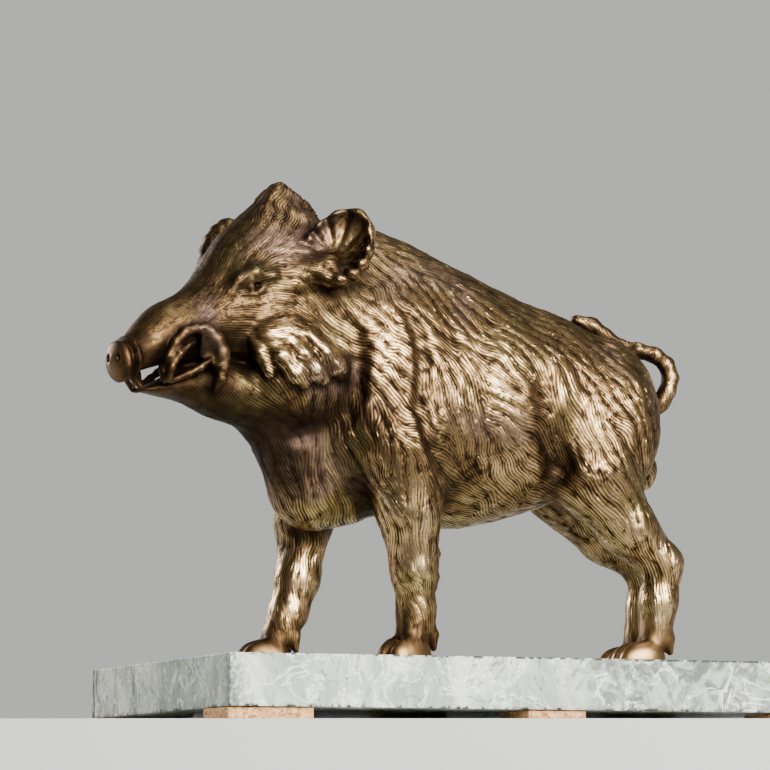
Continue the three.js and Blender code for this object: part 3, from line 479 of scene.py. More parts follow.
def head():
    """The head for l > 0, in its own frame: s back from the snout disc, l sideways, h up."""
    c = Clay()
    c.add(loft(SKULL, 4, 30, 0.12), 1)
    c.add(egg((113, 22, -36), (33, 18, 33), (0, -10, 0)), 8)            # jowl
    c.add(loft(JAW, 5, 20, 0), 5)
    c.add(egg((107, 27, -19), (25, 14, 15), (0, -20, 0)), 6)            # cheek
    for lobe in WHISKERS:
        c.add(bar(lobe, 3), 1.8)
    c.cut(egg((10, 0, -15), (19, 30, 3.9), (0, 3, 0)), 1.2)             # open mouth
    c.add(bar(LIP_FOLD, 2), 2.5)
    # the side of the open mouth, between the lips
    c.cut(egg((44.5, 25.5, -12), (8, 4.8, 6.5), (0, 35, 0)), 2)
    c.cut(egg((35, 22, -9.5), (9, 5, 4), (0, 32, 0)), 1.5)
    c.cut(egg((27.5, 18.5, -14.5), (4.5, 4, 4), (0, 40, 0)), 1.5)
    for s, l, h in PLEATS:
        c.add(bar([(s, l, h, 2.2), (46.5, 17.5, -11.5, 0.9)], 1), 0.8)
    c.add(bar(UPPER_LIP, 1.5), 1.6)
    c.add(bar(LOWER_LIP, 2), 1.5)
    c.add(bar(TUSK, 1), 0.8)
    # front teeth
    c.add(bar([(9, 4, -19.5, 1.9), (5, 4, -11, 1.6)], 1), 0.8)
    c.add(bar([(20.5, 11.5, -19, 2), (21.5, 12, -11, 2.6)], 1), 0.8)
    # snout disc with its collar and nostrils
    c.add(egg((7.5, 0, -0.5), (2.8, 13.8, 13.2), (0, -10, 0)), 1.2)
    c.add(egg((1.2, 0, -1), (4.4, 11.3, 12.4), (0, -12, 0)), 2)
    c.cut(egg((-3, 4.6, 2), (7, 1.5, 2)), 0.4)
    # brow, eye socket, eyeball and lids
    c.add(bar([(79, 20, 18, 1.8), (86, 22.5, 23.5, 2.8), (96, 26, 25, 2.8), (106, 30, 20, 1.8)], 4), 6)
    c.cut(egg((91, 28.5, 17), (6, 4, 3.4), (0, 10, 0)), 2.5)
    c.add(egg((91, 25.2, 17.2), (3.2, 2.8, 2.8)), 0.6)
    c.add(bar([(84, 24, 15.5, 1), (91, 26.6, 12.4, 1.4), (98, 28.5, 15.5, 1)], 2), 1.5)
    c.add(bar([(84, 23.5, 18.5, 0.8), (91, 26.3, 21.4, 1.3), (98, 28.3, 18.5, 0.8)], 2), 1.2)
    c.add(crest(), 5)

    def distance(p):
        q = to_head(p)
        q[:, 1] = np.abs(q[:, 1])
        return c.distance(q)
    return Shape(distance, from_head((85, 0, 0)), 116)


# Middle, axis from base to tip, the way the cup opens, half length and half width of each ear.
NEAR_EAR = (np.array((-95.2, -52, 244.1)), (0.5, -0.06, 0.86), (-0.6, -0.8, 0.1), 26, 21.5)
FAR_EAR = (from_head((133, 42, 35)), (0.8, 0.1, 0.52) @ HEAD_AXES, (-0.45, 0.85, 0.15) @ HEAD_AXES, 25, 19)
EARS = ((NEAR_EAR, from_head((122, -24, 14))), (FAR_EAR, from_head((122, 24, 14))))
EAR_FOLDS = 13


def ear(middle, axis, opening, length, width):
    """A cupped leaf with folds fanning out inside it."""
    a = unit(axis)
    n = unit(opening - a * np.dot(opening, a))
    axes = np.array([a, np.cross(n, a), n])
    outer = egg((0, 0, 0), (length, width, 11))
    inner = egg((1.5, 0, 8.5), (length - 3.5, width - 3.2, 12))

    def distance(p):
        u, v, w = ((p - middle) @ axes.T).T
        r = np.hypot((u + 0.25 * length) / length, v / width)
        fold = 1.5 * np.clip((r - 0.25) / 0.5, 0, 1) * np.cos(EAR_FOLDS * np.arctan2(v, u + 0.25 * length))
        q = np.stack([u, v / (1 - 0.16 * u / length), w], 1)
        shell = soft_max(outer.distance(q) - 0.35 * fold, -inner.distance(q) - 0.75 * fold, 1.5)
        return soft_max(shell, w - 5 - 0.6 * fold - 2 * (r - 0.5), 1.5)
    return Shape(distance, middle, length + 2)


def ear_root(its_ear, root):
    """The stalk between an ear and the head."""
    middle, axis, _, length, _ = its_ear
    start = middle - 0.55 * length * unit(axis)
    return bar([(*start, 8), (*root, 11)], 1)


TRUNK = [(-92, 260, 128, 36, -4), (-70, 266, 100, 43, -2), (-40, 259, 87, 49, 0), (0, 242, 84, 52, 0),
         (40, 225, 93, 49, 0), (70, 216, 104, 44, 0), (93, 203, 112, 39, 0)]
LEGS = [
    [(-50, -36, 128, 26), (-45, -35, 92, 18.5), (-41, -33, 54, 12.5), (-38.5, -31, 32, 10.5),
     (-41, -31, 18, 10)],
    [(-82, 32, 126, 26), (-87, 31, 88, 16.5), (-92, 29, 52, 12.5), (-98, 28, 32, 10.5), (-105, 28, 18, 9.8)],
    [(78, -30, 116, 24), (101, -31, 84, 16.5), (123, -31, 63, 12), (120.5, -31, 40, 10.8),
     (118, -31, 18, 10)],
    [(84, 30, 114, 24), (114, 31, 84, 16), (142, 31, 64, 11.5), (140.5, 31, 40, 10.5), (136, 31, 18, 9.8)],
]
# Where each foot stands, x and y, and how far its toes turn away from -X.
ANKLES = [(-43, -31, 24), (-110, 28, 0), (111, -31, 6), (130, 31, 4)]
TAIL = [(128, -2, 158, 5.6), (136.5, -3, 166, 5.2), (141, -3, 173, 5), (143.4, -3, 181.5, 4.8),
        (140.5, -3, 189.6, 4.8), (133, -2, 195.5, 4.8), (122.5, 0, 198, 4.6), (113, 5, 200, 4.8),
        (104, 10, 207, 5.2), (96, 12, 213, 5.8), (87, 13, 216, 4.6)]
THROAT = [(-122, -14, 143, 20), (-109, -9, 129, 20), (-99, -4, 106, 20), (-90, 0, 98, 16)]
# Grooves where one mass of the coat ends over the next: below and behind the jowl, behind the shoulder, and
# in front of the thigh; the first is in the head's frame.
JOWL_EDGE = [(96, 22, -77, 4), (104, 29, -77.5, 5), (113, 35, -77.5, 5.8), (123, 42, -71, 5.5),
             (130, 47.5, -59, 5), (136, 50, -44, 4.5), (141, 48, -27, 4), (141, 43, -11, 3)]
SHOULDER_EDGE = [(-53, 51, 209, 3), (-46, 55, 197, 4.5), (-43, 58, 181, 5), (-46, 59, 153, 5),
                 (-41, 62, 133, 5), (-29, 58, 112, 6), (-27, 52, 93, 5)]
THIGH_EDGE = [(34, 54, 185, 4), (38, 54, 165, 6), (42, 52, 140, 7), (50, 42, 118, 7)]
# Tufts that stand clear of the coat behind the elbows, three on the near foreleg and two on the far one.
ELBOWS = [[(-35, -38, 86, 4.5), (-30.5, -39, 79, 3.6), (-28.6, -39, 72, 1.6)],
          [(-34, -36, 73, 4.5), (-29, -37, 65, 3.4), (-27.8, -37, 58, 1.5)],
          [(-34, -35, 58, 4), (-29, -36, 51, 3), (-28.4, -36, 45, 1.4)],
          [(-83, 31, 80, 4), (-78, 31, 72, 3.2), (-76.6, 31, 66, 1.5)],
          [(-84, 30, 65, 4), (-80, 30, 57, 3), (-79, 30, 51, 1.4)]]


def foot(x, y, turn):
    """Two claws and two dewclaws; turn swings the toes away from -X."""
    c = Clay()
    ahead = -np.array([math.cos(math.radians(turn)), math.sin(math.radians(turn)), 0])
    aside = np.array([-ahead[1], ahead[0], 0])

    def on(along, side, z):
        return np.array([x, y, z]) + ahead * along + aside * side
    for side in (-1, 1):
        c.add(egg(on(5.5, 6.3 * side, 3), (15.5, 6.9, 12.5), (turn - 7 * side, 14, 0)), 1)
    c.cut(egg(on(17, 0, 0), (13, 1.3, 15), (turn, 0, 0)), 1)
    for side in (-1, 1):
        dewclaw = [(*on(-6, 5.5 * side, 27), 5), (*on(-13, 6.2 * side, 17), 4.2),
                   (*on(-14.5, 6.2 * side, 9), 2)]
        c.add(bar(dewclaw, 1), 2)
    return Shape(c.distance, (x, y, 10), 34)


def leg(points, ankle):
    c = Clay()
    c.add(bar(points, 7), 1)
    c.add(foot(*ankle), 4)
    return Shape(c.distance, (ankle[0], ankle[1], 62), 90)


def boar_form():
    """The whole boar, its masses added from the trunk outwards."""
    c = Clay()
    c.add(loft(TRUNK, 34, 32, 0.22), 1)
    c.add(egg((91, 0, 155), (36.5, 37, 44), (0, -14, 0)), 18)           # croup
    c.add(egg((-52, -33, 160), (40, 21, 62), (0, 14, 0)), 20)           # shoulders
    c.add(egg((-60, 33, 160), (40, 21, 62), (0, 14, 0)), 20)
    c.add(egg((-84, -3, 131), (24, 30, 50), (0, -20, 0)), 14)           # chest
    c.add(bar(THROAT, 10), 12)
    c.add(egg((-74, -2, 100), (20, 20, 16)), 10)                        # brisket
    c.add(egg((86, -26, 136), (34, 22, 44), (0, -22, 0)), 12)           # thighs
    c.add(egg((94, 26, 134), (34, 22, 44), (0, -22, 0)), 12)
    for side in (-1, 1):
        c.add(egg((121, 8 * side, 121), (9, 8.5, 12), (0, -20, 0)), 4)
    c.add(egg((125, -4, 145), (6, 8, 8)), 5)
    for points, ankle in zip(LEGS, ANKLES):
        c.add(leg(points, ankle), 10)
    c.add(head(), 13)
    for side in (-1, 1):
        c.cut(bar([(*from_head((s, l * side, h)), r) for s, l, h, r in JOWL_EDGE], 3), 5)
        for edge, soft in ((SHOULDER_EDGE, 4), (THIGH_EDGE, 8)):
            c.cut(bar([(x, y * side, z, r) for x, y, z, r in edge], 4), soft)
    c.cut(egg((129.5, -6, 145), (6, 2, 2.6)), 1.5)
    for tuft in ELBOWS:
        c.add(bar(tuft, 1.5), 2.5)
    for its_ear, _ in EARS:
        c.add(ear(*its_ear), 3)
    for its_ear, root in EARS:
        c.add(ear_root(its_ear, root), 5)
    c.add(bar(TAIL, 3), 3)
    return lambda p: np.maximum(c.distance(p), HOOF_GAP - p[:, 2])


def skin_of(form, low, high, pitch):
    """A grid of distances, fine only near the surface, skinned with one vertex per crossed cell."""
    block, batch = 8, 800
    reach = pitch * block * 0.866 * 1.6      # half a block's diagonal, with room for soft joints
    low = np.array(low, float)
    count = np.ceil((np.array(high) - low) / pitch / block).astype(int)
    middles = np.stack(np.meshgrid(*[low[i] + pitch * (block * np.arange(count[i]) + 3.5) for i in range(3)],
                                   indexing="ij"), -1).reshape(-1, 3)
    rough = form(middles).reshape(count)
    grid = rough.astype(np.float32).repeat(block, 0).repeat(block, 1).repeat(block, 2)
    cells = np.stack(np.meshgrid(*[np.arange(block)] * 3, indexing="ij"), -1).reshape(-1, 3)
    near = np.argwhere(np.abs(rough) < reach)
    for start in range(0, len(near), batch):
        i = (near[start:start + batch, None] * block + cells).reshape(-1, 3)
        grid[tuple(i.T)] = form(low + pitch * i)
    fill_pinches(grid)

    solid = grid < 0
    corners = np.argwhere(np.ones((2, 2, 2)))
    total = np.zeros(np.array(grid.shape) - 1, np.uint8)
    for i, j, k in corners:
        total += solid[i:grid.shape[0] - 1 + i, j:grid.shape[1] - 1 + j, k:grid.shape[2] - 1 + k]
    crossed = np.argwhere((total > 0) & (total < 8))
    name = np.full(total.shape, -1, np.int32)
    name[tuple(crossed.T)] = np.arange(len(crossed))
    value = np.stack([grid[tuple((crossed + c).T)] for c in corners], 1)
    point, hits = np.zeros((len(crossed), 3)), np.zeros(len(crossed))
    for a in range(8):
        for b in range(a + 1, 8):
            if np.abs(corners[a] - corners[b]).sum() != 1:
                continue
            hit = (value[:, a] < 0) != (value[:, b] < 0)
            t = value[hit, a] / (value[hit, a] - value[hit, b])
            point[hit] += corners[a] + t[:, None] * (corners[b] - corners[a])
            hits[hit] += 1
    points = low + pitch * (crossed + point / hits[:, None])

    quads = []
    for axis in range(3):
        here, there = [slice(1, -1)] * 3, [slice(1, -1)] * 3
        here[axis], there[axis] = slice(0, -1), slice(1, None)
        edge = np.argwhere(solid[tuple(here)] != solid[tuple(there)])
        inside = solid[tuple(here)][tuple(edge.T)]
        u, w = (axis + 1) % 3, (axis + 2) % 3
        edge[:, [u, w]] += 1

        def corner(du, dw):
            at = edge.copy()
            at[:, u] -= du
            at[:, w] -= dw
            return name[tuple(at.T)]
        quad = np.stack([corner(1, 1), corner(0, 1), corner(0, 0), corner(1, 0)], 1)
        quad[~inside] = quad[~inside][:, ::-1]
        quads.append(quad)
    return points, np.concatenate(quads)


def fill_pinches(grid):
    """Fills points where two solid points meet only across a diagonal, so the skin is one sheet."""
    def moved(array, axes):
        """All but one layer of the array, starting one step further along the given axes."""
        shift = [1 if i in axes else 0 for i in range(3)]
        return array[tuple(slice(k, array.shape[i] - 1 + k) for i, k in enumerate(shift))]

    for _ in range(6):
        solid = grid < 0
        fill = np.zeros_like(solid)
        for p, q, r in ((0, 1, 2), (1, 2, 0), (2, 0, 1)):
            for far in ((), (r,)):
                corners = ((), (p, q) + far, (p,), (q,) + far)
                here, across, left, right = [moved(solid, axes) for axes in corners]
                moved(fill, (p,))[here & across & ~left & ~right] = True
                moved(fill, ())[left & right & ~here & ~across] = True
        if not fill.any():
            break
        grid[fill] = -0.03      # just inside the skin


# How the coat lies: place, direction, height of the locks, depth of the combing, size of the locks and
# how far the entry reaches. Given for one side and mirrored; the first table is in the head's frame.
HEAD_COAT = [
    ((3, 0, 0), (1, 0, 0), 0, 0, 0.7, 6), ((12, 8, 8), (1, 0, 0.1), 0, 0.06, 0.7, 7),
    ((24, 8, 15), (1, 0, 0.1), 0, 0.12, 0.7, 10), ((35, 17, 3), (1, 0, 0.2), 0, 0.12, 0.7, 10),
    ((60, 10, 24), (1, 0, 0.3), 0.1, 0.26, 0.75, 14), ((90, 12, 45), (0.8, 0, 0.6), 0.4, 0.34, 0.8, 16),
    ((125, 8, 58), (0.7, 0, 0.7), 0.8, 0.42, 0.9, 16), ((150, 10, 60), (0.5, 0, 0.85), 0.9, 0.45, 1.0, 14),
    ((92, 27, 18), (1, 0, -0.1), 0, 0.05, 0.6, 5), ((90, 28, 4), (1, 0.2, -0.25), 0.1, 0.28, 0.7, 12),
    ((78, 28, -14), (0.9, 0.3, -0.4), 0.1, 0.34, 0.8, 12),
    ((98, 42, -34), (0.5, 0.2, -0.85), 0.15, 0.5, 0.85, 14),
    ((108, 40, -14), (0.85, 0.2, -0.5), 0.9, 0.45, 0.95, 16), ((40, 20, -6), (1, 0, 0.2), 0, 0, 0.7, 8),
    ((55, 24, -14), (1, 0, -0.2), 0, 0, 0.7, 6), ((60, 20, -42), (0.4, 0, -0.9), 0.2, 0.4, 0.85, 12),
    ((100, 34, -52), (0.3, 0.1, -0.95), 0.7, 0.48, 1.0, 16),
    ((130, 38, 0), (0.7, 0.3, -0.6), 0.7, 0.42, 0.95, 16), ((70, 0, -62), (1, 0, -0.2), 0.3, 0.36, 0.9, 16),
    ((20, 0, -20), (1, 0, 0), 0, 0, 0.7, 9),
]
BODY_COAT = [
    ((-80, 40, 215), (0.5, 0, -0.85), 1.0, 0.46, 1.0, 20),
    ((-40, 0, 262), (1, 0, -0.3), 0.8, 0.42, 1.0, 20), ((-30, 40, 235), (0.6, 0, -0.8), 0.9, 0.46, 1.0, 20),
    ((40, 0, 226), (0.9, 0, -0.5), 0.8, 0.45, 1.0, 26), ((100, 0, 202), (0.7, 0, -0.7), 0.8, 0.42, 1.0, 22),
    ((-55, 52, 182), (0.7, 0.1, -0.7), 1.2, 0.52, 1.1, 26),
    ((-50, 50, 140), (0.45, 0, -0.9), 1.2, 0.52, 1.1, 22),
    ((-105, 30, 160), (0.5, 0, -0.85), 1.1, 0.52, 1.05, 20),
    ((-105, 0, 118), (0.4, 0, -0.9), 1.0, 0.5, 1.1, 22),
    ((0, 50, 205), (0.75, 0, -0.65), 1.0, 0.5, 1.05, 26),
    ((15, 52, 165), (0.7, 0, -0.7), 1.0, 0.52, 1.1, 28),
    ((10, 42, 108), (0.7, -0.1, -0.6), 0.8, 0.46, 1.05, 26),
    ((72, 44, 188), (0.6, 0, -0.8), 1.0, 0.5, 1.05, 22),
    ((88, 47, 145), (0.5, 0, -0.85), 1.2, 0.52, 1.1, 24), ((122, 30, 150), (0.3, 0, -1), 1.0, 0.5, 1.0, 20),
    ((100, 40, 90), (0.75, 0, -0.8), 0.8, 0.45, 1.0, 18), ((126, 34, 58), (0.2, 0, -1), 0.5, 0.38, 0.9, 16),
    ((-45, 44, 84), (0.4, 0, -0.9), 0.9, 0.48, 1.0, 18), ((-90, 40, 84), (0.2, 0, -1), 0.9, 0.48, 1.0, 18),
    ((-42, 38, 42), (0.3, 0, -1), 0.5, 0.38, 0.9, 16), ((-95, 38, 42), (0.1, 0, -1), 0.5, 0.38, 0.9, 16),
    ((-46, 36, 6), (0, 0, -1), 0, 0, 0.6, 9), ((-112, 34, 6), (0, 0, -1), 0, 0, 0.6, 9),
    ((112, 36, 6), (0, 0, -1), 0, 0, 0.6, 10), ((136, 0, 150), (0, 0, -1), 0.6, 0.4, 0.9, 16),
    ((142, 0, 186), (0, 0, 1), 0, 0.16, 0.7, 9), ((122, 0, 201), (-1, 0, 0.1), 0, 0.16, 0.7, 7),
    ((96, 12, 213), (-1, 0, 0.3), 0.2, 0.3, 0.8, 8),
]
COAT = [(np.multiply(p, (1, side, 1)), unit(np.multiply(d, (1, side, 1))), *rest)
        for side in (-1, 1) for p, d, *rest in BODY_COAT]
COAT += [(from_head(np.multiply(p, (1, side, 1))), unit(np.multiply(d, (1, side, 1))) @ HEAD_AXES, *rest)
         for side in (-1, 1) for p, d, *rest in HEAD_COAT]
COAT += [(e[0], unit(e[1]), 0, 0.06, 0.5, 12) for e in (NEAR_EAR, FAR_EAR)]


def coat_at(points):
    """Direction, lock height, comb depth and lock size of the coat at each point."""
    total, mean = np.zeros(len(points)), np.zeros((len(points), 6))
    for place, direction, height, depth, size, reach in COAT:
        w = np.exp(-0.5 * ((points - place) ** 2).sum(1) / reach ** 2)
        total += w
        mean += w[:, None] * np.array([*direction, height, depth, size])
    mean /= np.maximum(total, 1e-12)[:, None]
    return mean[:, :3], mean[:, 3], mean[:, 4], mean[:, 5]


def normals_of(points, quads):
    a, b, c, d = points[quads].transpose(1, 0, 2)
    face = np.cross(c - a, d - b)
    total = np.stack([np.bincount(quads.ravel(), np.repeat(face[:, i], 4), len(points)) for i in range(3)], 1)
    return unit(total)


def halved(points, quads, *values):
    """Every quad cut into four, with values at the points carried over."""
    edges = np.sort(np.concatenate([quads[:, [i, (i + 1) % 4]] for i in range(4)]), 1)
    code, name = np.unique(edges[:, 0].astype(np.int64) * len(points) + edges[:, 1], return_inverse=True)
    ends = np.stack([code // len(points), code % len(points)], 1)
    side = (name + len(points)).reshape(4, -1)
    centre = np.arange(len(quads)) + len(points) + len(ends)
    points, *values = [np.concatenate([v, v[ends].mean(1), v[quads].mean(1)]) for v in (points, *values)]
    parts = [np.stack([quads[:, i], side[i], centre, side[i - 1]], 1) for i in range(4)]
    return points, np.concatenate(parts), values


STRAND = 1.8             # from one strand to the next, in millimetres
CRIMP = 0.9              # how far the wave of the hair carries a strand aside
CRIMP_LENGTH = 20.0      # length of that wave
HANK = 8.0               # width of the hanks that the strands lie in
SWELL = 0.42             # how far hanks and tufts stand out, times the coat's own height
PARTING = 0.35           # depth of the partings between hanks, times the same
GROOVE = 1.7             # depth of the grooves between strands, times the coat's own depth


def lumps(points, size, seed):
    """Smooth uneven swelling between -1 and 1, with hollows about the given size apart."""
    rng = np.random.default_rng(seed)
    total = np.zeros(len(points))
    for _ in range(7):
        way = unit(rng.normal(size=3)) * 2 * math.pi / (size * rng.uniform(0.7, 1.5))
        total += np.sin(points @ way + rng.uniform(0, 6.3))
    return total / 3.2


class Comb:
    """Parallel waves laid over the skin. Each small patch of skin carries a wave across (or along)
    the way the coat lies there, and the patches are shifted until neighbours meet crest to crest.
    A patch is a cell wide; its wave is pitch long and fades over spread, along and across the coat."""

    def __init__(self, points, normal, cell, heading, pitch, spread, seed):
        self.cell, self.spread, self.crimp = cell, np.array(spread), 0.0
        rng = np.random.default_rng(seed)
        order = rng.permutation(len(points))
        self.key, first = np.unique(self.cells(points[order]), return_index=True)
        pick = order[first]
        self.pick, self.place, self.normal = pick, points[pick], normal[pick]
        lie, height, _, size = coat_at(self.place)
        lie = unit(lie - self.normal * (lie * self.normal).sum(1, keepdims=True))
        stray = 0.5 * lumps(self.place, 45.0, 91) + 0.3 * lumps(self.place, 19.0, 92)
        stray *= np.clip(height, 0, 1)
        self.along = unit(lie + stray[:, None] * np.cross(self.normal, lie))
        self.across = np.cross(self.normal, self.along)
        self.wave = 2 * math.pi / (pitch * size * (1 + 0.16 * lumps(self.place, 33.0, 93)))
        self.heading = self.across if heading == "across" else self.along
        self.shift = rng.uniform(-math.pi, math.pi, len(pick))

    def cells(self, points):
        c = np.floor(points / self.cell).astype(np.int64) + 200
        return (c[:, 0] * 1000 + c[:, 1]) * 1000 + c[:, 2]

    def waves(self, points, normal, crimp, crimp_here, alone=False):
        """Sum of the waves of the patches round each point, as complex numbers."""
        total, weight = np.zeros(len(points), complex), np.zeros(len(points))
        cell, home = np.unique(self.cells(points), return_inverse=True)
        reach = range(-2, 3)
        for step in [(i * 1000 + j) * 1000 + k for i in reach for j in reach for k in reach]:
            found = np.minimum(np.searchsorted(self.key, cell + step), len(self.key) - 1)
            near = np.flatnonzero((self.key[found] == cell + step)[home])
            patch = found[home[near]]
            if alone:
                near, patch = near[patch != near], patch[patch != near]
            q = points[near] - self.place[patch]
            w = (np.einsum("ij,ij->i", q, self.along[patch]) / self.spread[0]) ** 2
            w += (np.einsum("ij,ij->i", q, self.across[patch]) / self.spread[1]) ** 2
            w += (np.einsum("ij,ij->i", q, self.normal[patch]) / 3.0) ** 2
            keep = w < 5
            near, patch, q, w = near[keep], patch[keep], q[keep], w[keep]
            w = np.exp(-w) * np.maximum(np.einsum("ij,ij->i", normal[near], self.normal[patch]), 0)
            turn = self.wave[patch] * ((q * self.heading[patch]).sum(1) + crimp[near] - crimp_here[patch])
            total[near] += w * np.exp(1j * (turn + self.shift[patch]))
            weight[near] += w
        return total, weight

    def settle(self, crimp, rounds=10):
        for _ in range(rounds):
            total, _ = self.waves(self.place, self.normal, crimp, crimp, alone=True)
            self.shift = np.angle(total)

    def over(self, points, normal, crimp=None, crimp_here=None):
        crimp = np.zeros(len(points)) if crimp is None else crimp
        crimp_here = np.zeros(len(self.place)) if crimp_here is None else crimp_here
        total, weight = self.waves(points, normal, crimp, crimp_here)
        return total / np.maximum(np.abs(total), 1e-9), np.abs(total) / np.maximum(weight, 1e-9)


def fold_at(points, crimp, seed):
    """How far aside the wave of the hair carries a strand."""
    height = coat_at(points)[1]
    return CRIMP * np.clip(height, 0.1, 1.2) * (0.8 + 0.6 * lumps(points, 40.0, seed + 5)) * crimp


def combed(points, quads, open_air, seed):
    """Combs the strands of the coat into the skin.
    Returns the skin, how high each point lies between groove (0) and ridge (1), and its open air."""
    normal = normals_of(points, quads)
    crimp = Comb(points, normal, 8.0, "along", CRIMP_LENGTH, (9.0, 11.0), seed)
    crimp.settle(np.zeros(len(crimp.place)))
    strands = Comb(points, normal, 4.4, "across", STRAND, (5.5, 3.0), seed + 1)
    sway = fold_at(strands.place, crimp.over(strands.place, strands.normal)[0].imag, seed)
    strands.settle(sway)
    hanks = Comb(points, normal, 7.0, "across", HANK, (11.0, 6.0), seed + 2)
    hanks.settle(np.zeros(len(hanks.place)))
    fold = fold_at(points, crimp.over(points, normal)[0].imag, seed)
    hank, _ = hanks.over(points, normal)

    points, quads, (fold, hank, open_air) = halved(points, quads, fold, hank.real, open_air)
    normal = normals_of(points, quads)
    strand, clear = strands.over(points, normal, fold, sway)
    _, height, depth, _ = coat_at(points)
    ridge = (0.5 + 0.5 * strand.real) ** 0.55 * (0.35 + 0.65 * clear)
    uneven = 0.85 + 0.45 * lumps(points, 9.0, seed)
    swell = 0.45 * hank + 0.6 * lumps(points, 24.0, seed + 3) + 0.35 * lumps(points, 12.0, seed + 4)
    parting = np.clip((-hank - 0.45) / 0.5, 0, 1) ** 2 * np.clip(uneven, 0, 1.3)
    relief = height * (SWELL * swell - PARTING * parting) + depth * (ridge - 0.5) * GROOVE * uneven
    points = points + normal * relief[:, None]
    points[:, 2] = np.maximum(points[:, 2], HOOF_GAP)
    level = np.where(depth > 0.03, 0.2 + 0.75 * ridge + 0.1 * swell - 0.16 * parting * height, 0.75)
    return points, quads, level, open_air


CAST_FACES = 196000
SKIN_PITCH = 1.3
REACH = ((-252, -82, -4.2), (166, 84, 302))    # corners of the space that the boar stands in


def cast_in_bronze(name):
    """The finished skin as a mesh, in metres, with how worn and how sheltered each point is."""
    form = boar_form()
    points, quads = skin_of(form, *REACH, SKIN_PITCH)
    normal = normals_of(points, quads)
    open_air = np.clip(form(points + 3 * normal) / 3, 0, 1) * np.clip(form(points + 11 * normal) / 11, 0.3, 1)
    points, quads, level, open_air = combed(points, quads, open_air, seed=7)
    mesh = bpy.data.meshes.new(name)
    mesh.vertices.add(len(points))
    mesh.vertices.foreach_set("co", (ORIGIN + points / 1000).astype(np.float32).ravel())
    mesh.loops.add(quads.size)
    mesh.loops.foreach_set("vertex_index", quads.ravel().astype(np.int32))
    mesh.polygons.add(len(quads))
    mesh.polygons.foreach_set("loop_start", np.arange(len(quads), dtype=np.int32) * 4)
    mesh.update(calc_edges=True)
    mesh.attributes.new("comb", "FLOAT", "POINT").data.foreach_set("value", level.astype(np.float32))
    mesh.attributes.new("open_air", "FLOAT", "POINT").data.foreach_set("value", open_air.astype(np.float32))
    piece = bpy.data.objects.new(name, mesh)
    bpy.context.collection.objects.link(piece)
    thin = piece.modifiers.new("Fewer faces", "DECIMATE")
    thin.ratio = CAST_FACES / (2 * len(quads))
    result = bpy.data.meshes.new_from_object(piece.evaluated_get(bpy.context.evaluated_depsgraph_get()))
    piece.modifiers.clear()
    piece.data = result
    bpy.data.meshes.remove(mesh)
    result.name = name
    result.shade_smooth()
    return piece


